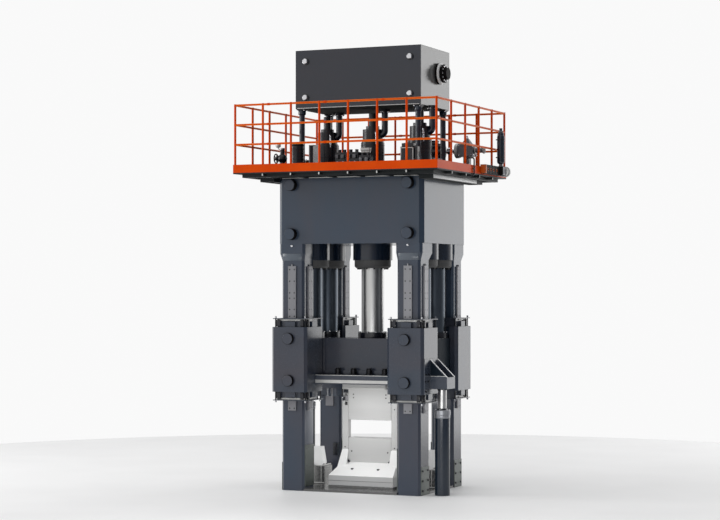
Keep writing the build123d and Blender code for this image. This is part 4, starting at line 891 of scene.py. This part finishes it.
# %% Paint shade on the ribs and the beam's ends
rib_back = -0.9002
origin = (0.0, 0.0, 0.0)
recesses = []
ledges = []
for spin in (0.0, math.pi):
    plate = block((1.464, rib_back - 0.0033, 2.062), (1.745, rib_back, 2.335), 0.001)
    open_mesh()
    bpy.ops.mesh.bisect(plane_co=(1.755, -0.9, 2.03), plane_no=(0.701, 0.0, 0.713), use_fill=True,
                        clear_outer=True)
    bpy.ops.object.mode_set(mode="OBJECT")
    recesses.append(leaned(plate, origin, (0.0, 0.0, spin)))
    ledge = block((1.463, rib_back - 0.0043, 2.05), (1.768, rib_back, 2.059), 0.001)
    ledges.append(leaned(ledge, origin, (0.0, 0.0, spin)))
settle(recesses, "rib_recess_painted_shade", navy_painted_shade, "slide")
settle(ledges, "rib_ledges", pale_steel, "slide")
beam_low, beam_high = reach("slide_beam")
beam_end_painted_shade = pair("X", beam_high[0] + 0.0018, 0.0016, beam_high[1] - 0.003,
                 (beam_low[2] + 0.003, beam_high[2] - 0.003))
settle(beam_end_painted_shade, "beam_end_painted_shade", navy_painted_shade, "slide")
print("rib recesses:", len(recesses))

# %% [markdown]
# ## Platform
# Pale end plates on the brackets under the deck's edge paint the light on their ends, which
# shows as ticks in the dark band. The posts of the front and back railings stand on small foot plates with
# two bolts.

# %% Paint light on the brackets' ends and seat the posts
post_pitch = 2 * 1.887 / 7
side_pitch = 2 * 1.686 / 5
post_xs = [(step - 2.5) * post_pitch for step in range(6)]
side_ys = [(step - 1.5) * side_pitch for step in range(4)]
edge_x, edge_y, edge_top = reach("platform_frame")[1]
tick_rise = (edge_top - 0.041, edge_top)
ticks = []
for x in post_xs:
    ticks += pair("Y", edge_y + 0.0015, 0.002, 0.011, tick_rise, shift=x)
for y in side_ys:
    ticks += pair("X", edge_x + 0.0015, 0.002, 0.011, tick_rise, shift=y)
settle(ticks, "bracket_end_painted_light", pale_steel)
feet = grid(post_xs, (-1.672, 1.672), [on_deck])
foot_model = slab((0.0, 0.0), (0.045, 0.03), (0.0, 0.01), 0.003)
settle(repeat(foot_model, feet), "post_feet", orange)
foot_bolts = [(x + side, y, deck_top + 0.01) for x, y, z in feet for side in (-0.033, 0.033)]
settle(repeat(bolt(0.008, 0.008), foot_bolts), "post_foot_bolts", black_bolt)
print("bracket ends:", len(ticks), "post feet:", len(feet))

# %% [markdown]
# The joints of the rails have small collars, as the photograph shows at the posts.

# %% Put collars on the rails
collar_model = turned(hoop(-0.028, 0.056, 0.0205, 0.002, 0.006), axis="X", sides=16)
collar_spots = grid((-1.24, -0.16, 0.92), (-1.686, 1.686), (6.063, 6.407, 6.75))
settle(repeat(collar_model, collar_spots), "rail_collars", orange)
print("rail collars:", len(collar_spots))

# %% [markdown]
# ## Prefill valves and caps
# A circle of bolts holds each valve's upper body, and a short bright pipe leads from it down to
# the main body. The two plain caps are bolted down in the same way.

# %% Bolt the valves and caps
valve_places = cylinder_spots[:3]
cap_places = cylinder_spots[3:]
body_radius = 0.2103
valve_bolts = [repeat(bolt(0.013, 0.014), circle_of(valve_places, 0.1, 8, 6.39)),
               repeat(bolt(0.014, 0.016), circle_of(valve_places, 0.226, 12, 5.618))]
settle(valve_bolts, "valve_bolts", bright_knob)
flange_steps = [(5.6002, 0.245), (5.613, 0.245), (5.618, 0.24), (5.618, 0.2101)]
settle(upright(flange_steps, valve_places, 40), "valve_flanges", navy)
cap_spots = circle_of(cap_places, 0.128, 8, reach("cylinder_caps")[1][2])
bright_bolts("cap_bolts", 0.014, 0.016, cap_spots)
hoops = [upright(hoop(z, 0.022, body_radius, 0.0032, 0.003), valve_places, 40) for z in (5.74, 5.93, 6.1)]
settle(hoops, "valve_hoops", black)
pilots = []
for x, y in valve_places:
    bend = (x + 0.13, y - 0.155)
    pilots.append(pipe([(x + 0.04, y - 0.1, 6.345), (*bend, 6.345), (*bend, 6.115)], 0.013, 0.04))
settle(pilots, "pilot_pipes", bright_knob)
print("pilot pipes:", len(pilots))

# %% Put flanges on the suction pipes and tank legs
pipe_places = [(x + 0.235, y) for x, y in valve_places]
flange_steps = [(6.7, 0.095), (6.718, 0.095), (6.722, 0.095), (6.7478, 0.095)]
settle(upright(flange_steps, pipe_places, 28), "suction_flanges", black)
suction_bolts = circle_of(pipe_places, 0.078, 6, 6.7)
bright_bolts("suction_bolts", 0.01, 0.012, suction_bolts, "-Z")
leg_places = [(x, y) for x in (-1.115, 1.115) for y in (-0.59, 0.59)]
foot_steps = [(on_deck, 0.082), (5.586, 0.082), (5.59, 0.078), (5.59, 0.05), (5.612, 0.0441)]
settle(upright(foot_steps, leg_places, 28), "tank_leg_feet", black)
sleeve_steps = [(5.612, 0.0505), (6.64, 0.0505), (6.652, 0.068), (6.722, 0.068), (6.7278, 0.064)]
settle(upright(sleeve_steps, leg_places, 28), "tank_leg_sleeves", navy)
square = (-0.056, 0.056)
leg_bolts = [(x + a, y + b, 6.728) for x, y in leg_places for a in square for b in square]
bright_bolts("tank_leg_bolts", 0.01, 0.012, leg_bolts, "-Z")
print("bolts under the tank:", len(suction_bolts) + len(leg_bolts))

# %% [markdown]
# ## Oil tank
# The knobs on the front get necks. The port on the right gets a pale clamp ring, a dark rim
# round its cover, and bright bolts. Weld seams run down the tank's corners.

# %% Dress the tank
tank_x, tank_y, tank_top = reach("tank_shell")[1]
tank_base = reach("tank_shell")[0][2]
port = (tank_x, 0.15, 7.35)
# The clamp ring is pale steel, painted near-white to make up for its shading: partly painted light.
clamp_ring = turned([(0.038, 0.1878), (0.04, 0.19), (0.066, 0.19), (0.0715, 0.184)], port, "X", 48)
settle(clamp_ring, "port_clamp_ring", die_steel)
cover_steps = [(0.0935, 0.1605), (0.095, 0.1625), (0.1225, 0.1625), (0.1243, 0.1605)]
settle(turned(cover_steps, port, "X", 48), "port_cover_rim", matt_black)
port_spots = [(tank_x + 0.124, port[1] + a, port[2] + b) for a, b in round_about(0.133, 12, 0.0)]
bright_bolts("port_bolts", 0.0165, 0.0165, port_spots, "X")
port_end = reach("tank_port")[1][0]
hub_rib = slab((port_end - 0.01515, port[1]), (0.01465, 0.012), (port[2] - 0.085, port[2] + 0.085), 0.003)
settle(hub_rib, "port_hub_rib", matt_black)
neck_model = turned([(0.0, 0.062), (0.01, 0.062), (0.016, 0.0505)], axis="-Y", sides=28)
knob_spots = grid((-1.0, 1.0), [-tank_y], (6.94, 7.58))
settle(repeat(neck_model, knob_spots), "knob_necks", black)
seam_x = tank_x - 0.0035
seam_y = tank_y - 0.0035
seams = [pipe([(x, y, tank_base + 0.004), (x, y, tank_top - 0.004)], 0.005, sides=8)
         for x in (-seam_x, seam_x) for y in (-seam_y, seam_y)]
settle(seams, "tank_weld_seams", tank_paint_painted_side_light)
print("port bolts:", len(port_spots))

# %% Close the tank from below, with painted shade and painted highlights
floor_rise = (tank_base - 0.0022, tank_base + 0.0018)
# The tank's floor is a dark matt plate whose colour paints the shade under the tank.
tank_floor_painted_shade = slab((0.0, 0.0), (tank_x - 0.004, tank_y - 0.004), floor_rise, 0.001)
settle(tank_floor_painted_shade, "tank_floor_painted_shade", grey_painted_shade)
# Pale lips along the tank's lower front and back edges paint the highlight on those edges.
lips = pair("Y", tank_y + 0.001, 0.0012, 1.17, (tank_base + 0.0025, tank_base + 0.014), 0.0005)
settle(lips, "tank_lip_painted_highlights", pale_steel)
print("tank lips:", len(lips))

# %% [markdown]
# ## Motor and pump
# The motor gets a fan cowl, an end bell, a terminal box and feet. The pump is a grey casting
# with bright screws and pale rings. The coupling's hub has screws, which turn with it.

# %% Dress the motor
motor_line = (0.0, 0.9, 6.035)
cowl_steps = [(0.615, 0.1), (0.622, 0.125), (0.64, 0.139), (0.7, 0.139), (0.704, 0.1355)]
bell_steps = [(0.985, 0.1355), (0.988, 0.142), (1.008, 0.142), (1.0155, 0.12), (1.022, 0.07),
              (1.022, 0.032), (1.0155, 0.03)]
box_parts = [turned(cowl_steps, motor_line, "X", 36),
             turned(bell_steps, motor_line, "X", 36),
             slab((0.845, 0.9), (0.055, 0.055), (6.165, 6.222), 0.006),
             slab((0.845, 0.9), (0.062, 0.062), (6.222, 6.234)),
             slab((0.84, 0.9), (0.12, 0.145), (on_deck, 5.59))]
settle(box_parts, "motor_cowl_and_box", black)
foot_spots = grid((0.745, 0.935), (0.775, 1.025), [5.59])
lid_spots = grid((0.795, 0.895), (0.85, 0.95), [6.234])
motor_screws = [repeat(bolt(0.012, 0.012), foot_spots), repeat(bolt(0.006, 0.006), lid_spots)]
settle(motor_screws, "motor_screws", bright_knob)
print("motor screws:", len(foot_spots) + len(lid_spots))

# %% Dress the pump
rings = [turned([(1.238, 0.066), (1.242, 0.07), (1.2498, 0.07)], motor_line, "X", 24),
         turned(hoop(1.25, 0.054, 0.1305, 0.0035, 0.004), motor_line, "X", 32),
         turned(hoop(1.604, 0.03, 0.0425, 0.0175, 0.006), motor_line, "X", 24),
         turned([(1.778, 0.0635), (1.78, 0.066), (1.788, 0.066), (1.7898, 0.0635)], motor_line, "X", 24)]
settle(rings, "pump_rings", pale_steel)
pump_screws = grid((1.345, 1.575), [0.7898], (5.95, 6.12))
end_screws = grid([1.6002], (0.815, 0.985), (5.95, 6.12))
cap_steps = [(0.0, 0.03), (0.02, 0.03), (0.024, 0.026), (0.024, 0.018), (0.055, 0.018), (0.06, 0.012)]
pump_heads = [repeat(bolt(0.014, 0.012, "-Y"), pump_screws),
              repeat(bolt(0.013, 0.012, "X"), end_screws),
              turned(cap_steps, (1.46, 0.9, 6.243), sides=16)]
settle(pump_heads, "pump_screws", bright_knob)
pump_base = slab((1.46, 0.9), (0.1, 0.12), (on_deck, 5.588))
settle(pump_base, "pump_foot", black)
hub_screws = [(1.1722, motor_line[1] + a, motor_line[2] + b) for a, b in round_about(0.044, 4)]
settle(repeat(bolt(0.007, 0.007, "X"), hub_screws), "coupling_screws", black_bolt, "pump_shaft")
print("pump screws:", len(pump_screws) + len(end_screws))

# %% [markdown]
# ## Stop valve and handwheel
# The handwheel is a smooth ring with round spokes, so it takes the place of the plain solid.
# It is made round the spindle, which points to the left.

# %% Make the handwheel
wheel_x, wheel_y, wheel_z = [(low + high) / 2 for low, high in zip(*reach("handwheel"))]
bpy.ops.object.select_all(action="DESELECT")
bpy.ops.mesh.primitive_torus_add(major_radius=0.082, minor_radius=0.0115, major_segments=48,
                                 minor_segments=12, location=(wheel_x, wheel_y, wheel_z),
                                 rotation=(0.0, math.radians(90.0), 0.0))
rim = bpy.context.object
apply_place()
wheel_parts = [rim]
for a, b in round_about(1.0, 5, 0.0):
    spoke = [(wheel_x, wheel_y + radius * a, wheel_z + radius * b) for radius in (0.018, 0.078)]
    wheel_parts.append(pipe(spoke, 0.007, sides=10))
hub_steps = hoop(-0.0145, 0.029, 0.022, 0.004, 0.0025)
wheel_parts.append(turned(hub_steps, (wheel_x, wheel_y, wheel_z), "X", 24))
handwheel = settle(wheel_parts, "smooth_handwheel", black, "handwheel")
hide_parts("handwheel")
wheel_nut = bolt(0.016, 0.012, "-X", (wheel_x - 0.0153, wheel_y, wheel_z))
settle(wheel_nut, "handwheel_nut", bright_knob, "handwheel")
print("handwheel made of", len(wheel_parts), "parts")

# %% Bolt the stop valve
valve = (-1.5, -0.6)
bonnet_steps = [(0.0, 0.048), (0.006, 0.05), (0.02, 0.05), (0.024, 0.0425)]
valve_heads = [repeat(bolt(0.008, 0.008), circle_of([valve], 0.066, 6, 5.597)),
               turned(bonnet_steps, (*valve, 6.04), sides=20)]
settle(valve_heads, "stop_valve_bolts", bright_knob)
bonnet = turned(hoop(0.08, 0.021, 0.0425, 0.0155, 0.003), (*valve, wheel_z), "-X", 8)
settle(bonnet, "bonnet_nut", black)
cup = (-1.585, -0.6)
cup_steps = [(6.075, 0.022), (6.09, 0.046), (6.15, 0.052), (6.158, 0.049), (6.158, 0.042), (6.12, 0.038)]
cup_parts = [pipe([(*valve, 6.05), (*cup, 6.05), (*cup, 6.085)], 0.01, 0.02),
             upright(cup_steps, [cup], 24)]
settle(cup_parts, "stop_valve_cup", pale_steel)
print("stop valve heads:", len(valve_heads))

# %% [markdown]
# ## Filter, cooler and valve blocks
# The filter has a bolted lid and hoops. The cooler's fins show as pale bars. The valve blocks
# carry square solenoids, plugs and a pale valve body.

# %% Dress the filter and the cooler
filter_place = [(-1.13, -0.76)]
lid_steps = [(6.0925, 0.112), (6.0925, 0.128), (6.112, 0.128), (6.118, 0.122), (6.118, 0.05), (6.135, 0.04)]
lid = [upright(lid_steps, filter_place, 36)]
lid += [upright(hoop(z, 0.019, 0.1183, 0.0032, 0.003), filter_place, 36) for z in (5.66, 5.84, 6.02)]
settle(lid, "filter_lid_and_hoops", black)
filter_bolts = circle_of(filter_place, 0.108, 8, 6.118)
bright_bolts("filter_bolts", 0.01, 0.011, filter_bolts)
bars = [slab((x, y), (0.007, 0.003), (5.585, 6.07), 0.002)
        for x in (-0.905, -0.815) for y in (-0.7415, -0.5385)]
bars.append(slab((-0.86, -0.64), (0.054, 0.104), (6.0822, 6.098)))
settle(bars, "cooler_bars", pale_steel)
print("filter bolts:", len(filter_bolts), "cooler bars:", len(bars))

# %% Dress the valve blocks
solenoids = []
plugs = []
for middle, front, top in ((-0.45, -0.41, 5.972), (-0.2, -0.455, 5.972), (0.06, -0.525, 5.902)):
    for x in (middle - 0.055, middle + 0.055):
        solenoids.append(slab((x, front - 0.0226), (0.028, 0.0224), (top - 0.11, top - 0.04), 0.005))
        plugs += grid([x], [front - 0.0002], (top - 0.17, top - 0.25))
settle(solenoids, "solenoids", grey_casting)
plug_steps = [(0.0, 0.014), (0.01, 0.014), (0.013, 0.011), (0.013, 0.006), (0.006, 0.005)]
settle(repeat(turned(plug_steps, axis="-Y", sides=12), plugs), "block_plugs", bright_knob)
pale_body = [slab((0.065, -0.45), (0.085, 0.055), (5.985, 6.036), 0.005),
             slab((0.065, -0.45), (0.075, 0.045), (5.953, 5.9848), 0.003)]
settle(pale_body, "pale_valve_body", pale_steel)
print("solenoids:", len(solenoids), "plugs:", len(plugs))

# %% [markdown]
# The block at the front right is a cabinet with bright edges, a lid box and a side box.

# %% Edge the cabinet
side_x = reach("valve_blocks")[1][0] + 0.0002
cabinet = [slab((x, -1.05235), (0.008, 0.00215), (5.585, 5.98), 0.002) for x in (0.978, 1.202)]
cabinet += [slab((1.09, -1.05235), (0.12, 0.00215), (z - 0.008, z + 0.008), 0.002) for z in (5.596, 5.972)]
cabinet += [slab((side_x + 0.00165, -0.95), (0.00165, 0.095), (z - 0.006, z + 0.006), 0.002)
            for z in (5.6, 5.78, 5.97)]
settle(cabinet, "block_edge_strips", pale_steel)
cabinet_top = [slab((1.09, -0.95), (0.105, 0.085), (5.9922, 6.052), 0.006),
               block((side_x, -1.02, 5.62), (1.262, -0.88, 6.00), 0.006)]
settle(cabinet_top, "cabinet_top", black)
print("cabinet strips:", len(cabinet))

# %% [markdown]
# ## Manifold, accumulator and side valve
# Four orange sleeves sit in the manifold's ports and a grey cover closes its end block. Clamps
# hold the accumulator, and a black pipe runs over the toe board.

# %% Dress the manifold
row_z = 5.665
sleeve_steps = [(1.985, 0.0335), (2.004, 0.0335), (2.006, 0.03), (2.006, 0.018), (1.996, 0.016)]
sleeve_spots = grid([0.0], (0.5, 0.65, 0.8, 0.95), [row_z])
sleeve_parts = [repeat(turned(sleeve_steps, axis="X", sides=20), sleeve_spots),
                block((1.9156, 0.347, 5.588), (2.01, 0.3502, 5.742), 0.002),
                block((2.0104, 0.352, 5.588), (2.0135, 0.412, 5.742), 0.002)]
settle(sleeve_parts, "port_sleeves", rust_orange)
face_screws = grid([2.0104], (0.438, 0.575, 0.725, 0.875, 1.03), (5.605, 5.725))
settle(repeat(bolt(0.009, 0.009, "X"), face_screws), "manifold_screws", black_bolt)
end_cover = [block((2.0655, 1.108, 5.592), (2.0695, 1.252, 5.738), 0.002),
             block((1.925, 1.2602, 5.592), (2.06, 1.263, 5.738), 0.002)]
settle(end_cover, "end_block_covers", grey_casting)
cover_spots = grid([2.0695], (1.122, 1.238), (5.607, 5.723))
bright_bolts("end_cover_screws", 0.008, 0.008, cover_spots, "X")
print("manifold screws:", len(face_screws))

# %% Dress the accumulator
bottle = [(2.0003, 1.18)]
neck = [upright([(5.7452, 0.045), (5.76, 0.045), (5.766, 0.036), (5.8, 0.0305)], bottle, 24),
        upright([(6.3655, 0.04), (6.372, 0.043), (6.39, 0.043), (6.396, 0.0285)], bottle, 24)]
settle(neck, "accumulator_rings", grey_casting)
shell_steps = [(5.795, 0.04), (5.815, 0.062), (5.84, 0.0695), (6.285, 0.0695), (6.31, 0.062),
               (6.33, 0.04)]
settle(upright(shell_steps, bottle, 32), "accumulator_shell", navy)
holders = []
for z in (5.9, 6.22):
    holders.append(upright(hoop(z, 0.028, 0.0695, 0.003, 0.003), bottle, 28))
    holders.append(slab((1.927, 1.18), (0.018, 0.015), (z + 0.004, z + 0.024), 0.003))
settle(holders, "accumulator_clamps", black)
print("accumulator clamps:", len(holders) // 2)

# %% Bolt the side valve
valve_x = 2.0103
valve_end = reach("side_valve")[1][1]
circle = [(valve_x + a, row_z + b) for a, b in round_about(0.078, 6)]
valve_ends = [repeat(bolt(0.01, 0.01, axis), [(x, y, z) for x, z in circle])
              for axis, y in (("-Y", valve_end - 0.024), ("Y", valve_end))]
settle(valve_ends, "side_valve_bolts", bright_knob)
side_cap = turned([(1.4202, 0.045), (1.432, 0.045), (1.437, 0.04)], (valve_x, 0.0, row_z), "Y", 24)
settle(side_cap, "side_valve_cap", pale_steel)
print("side valve bolts:", 2 * len(circle))

# %% Run the black pipe over the toe board
over_line = [(1.794, 5.53), (1.936, 5.53), (1.936, 5.84), (1.8, 5.84), (1.8, deck_top + 0.0005)]
over_pipe = pipe([(x, -0.02, z) for x, z in over_line], 0.013, 0.035)
clip = slab((1.9341, -0.02), (0.0189, 0.025), (5.64, 5.658), 0.003)
settle(joined([over_pipe, clip]), "over_pipe", black)
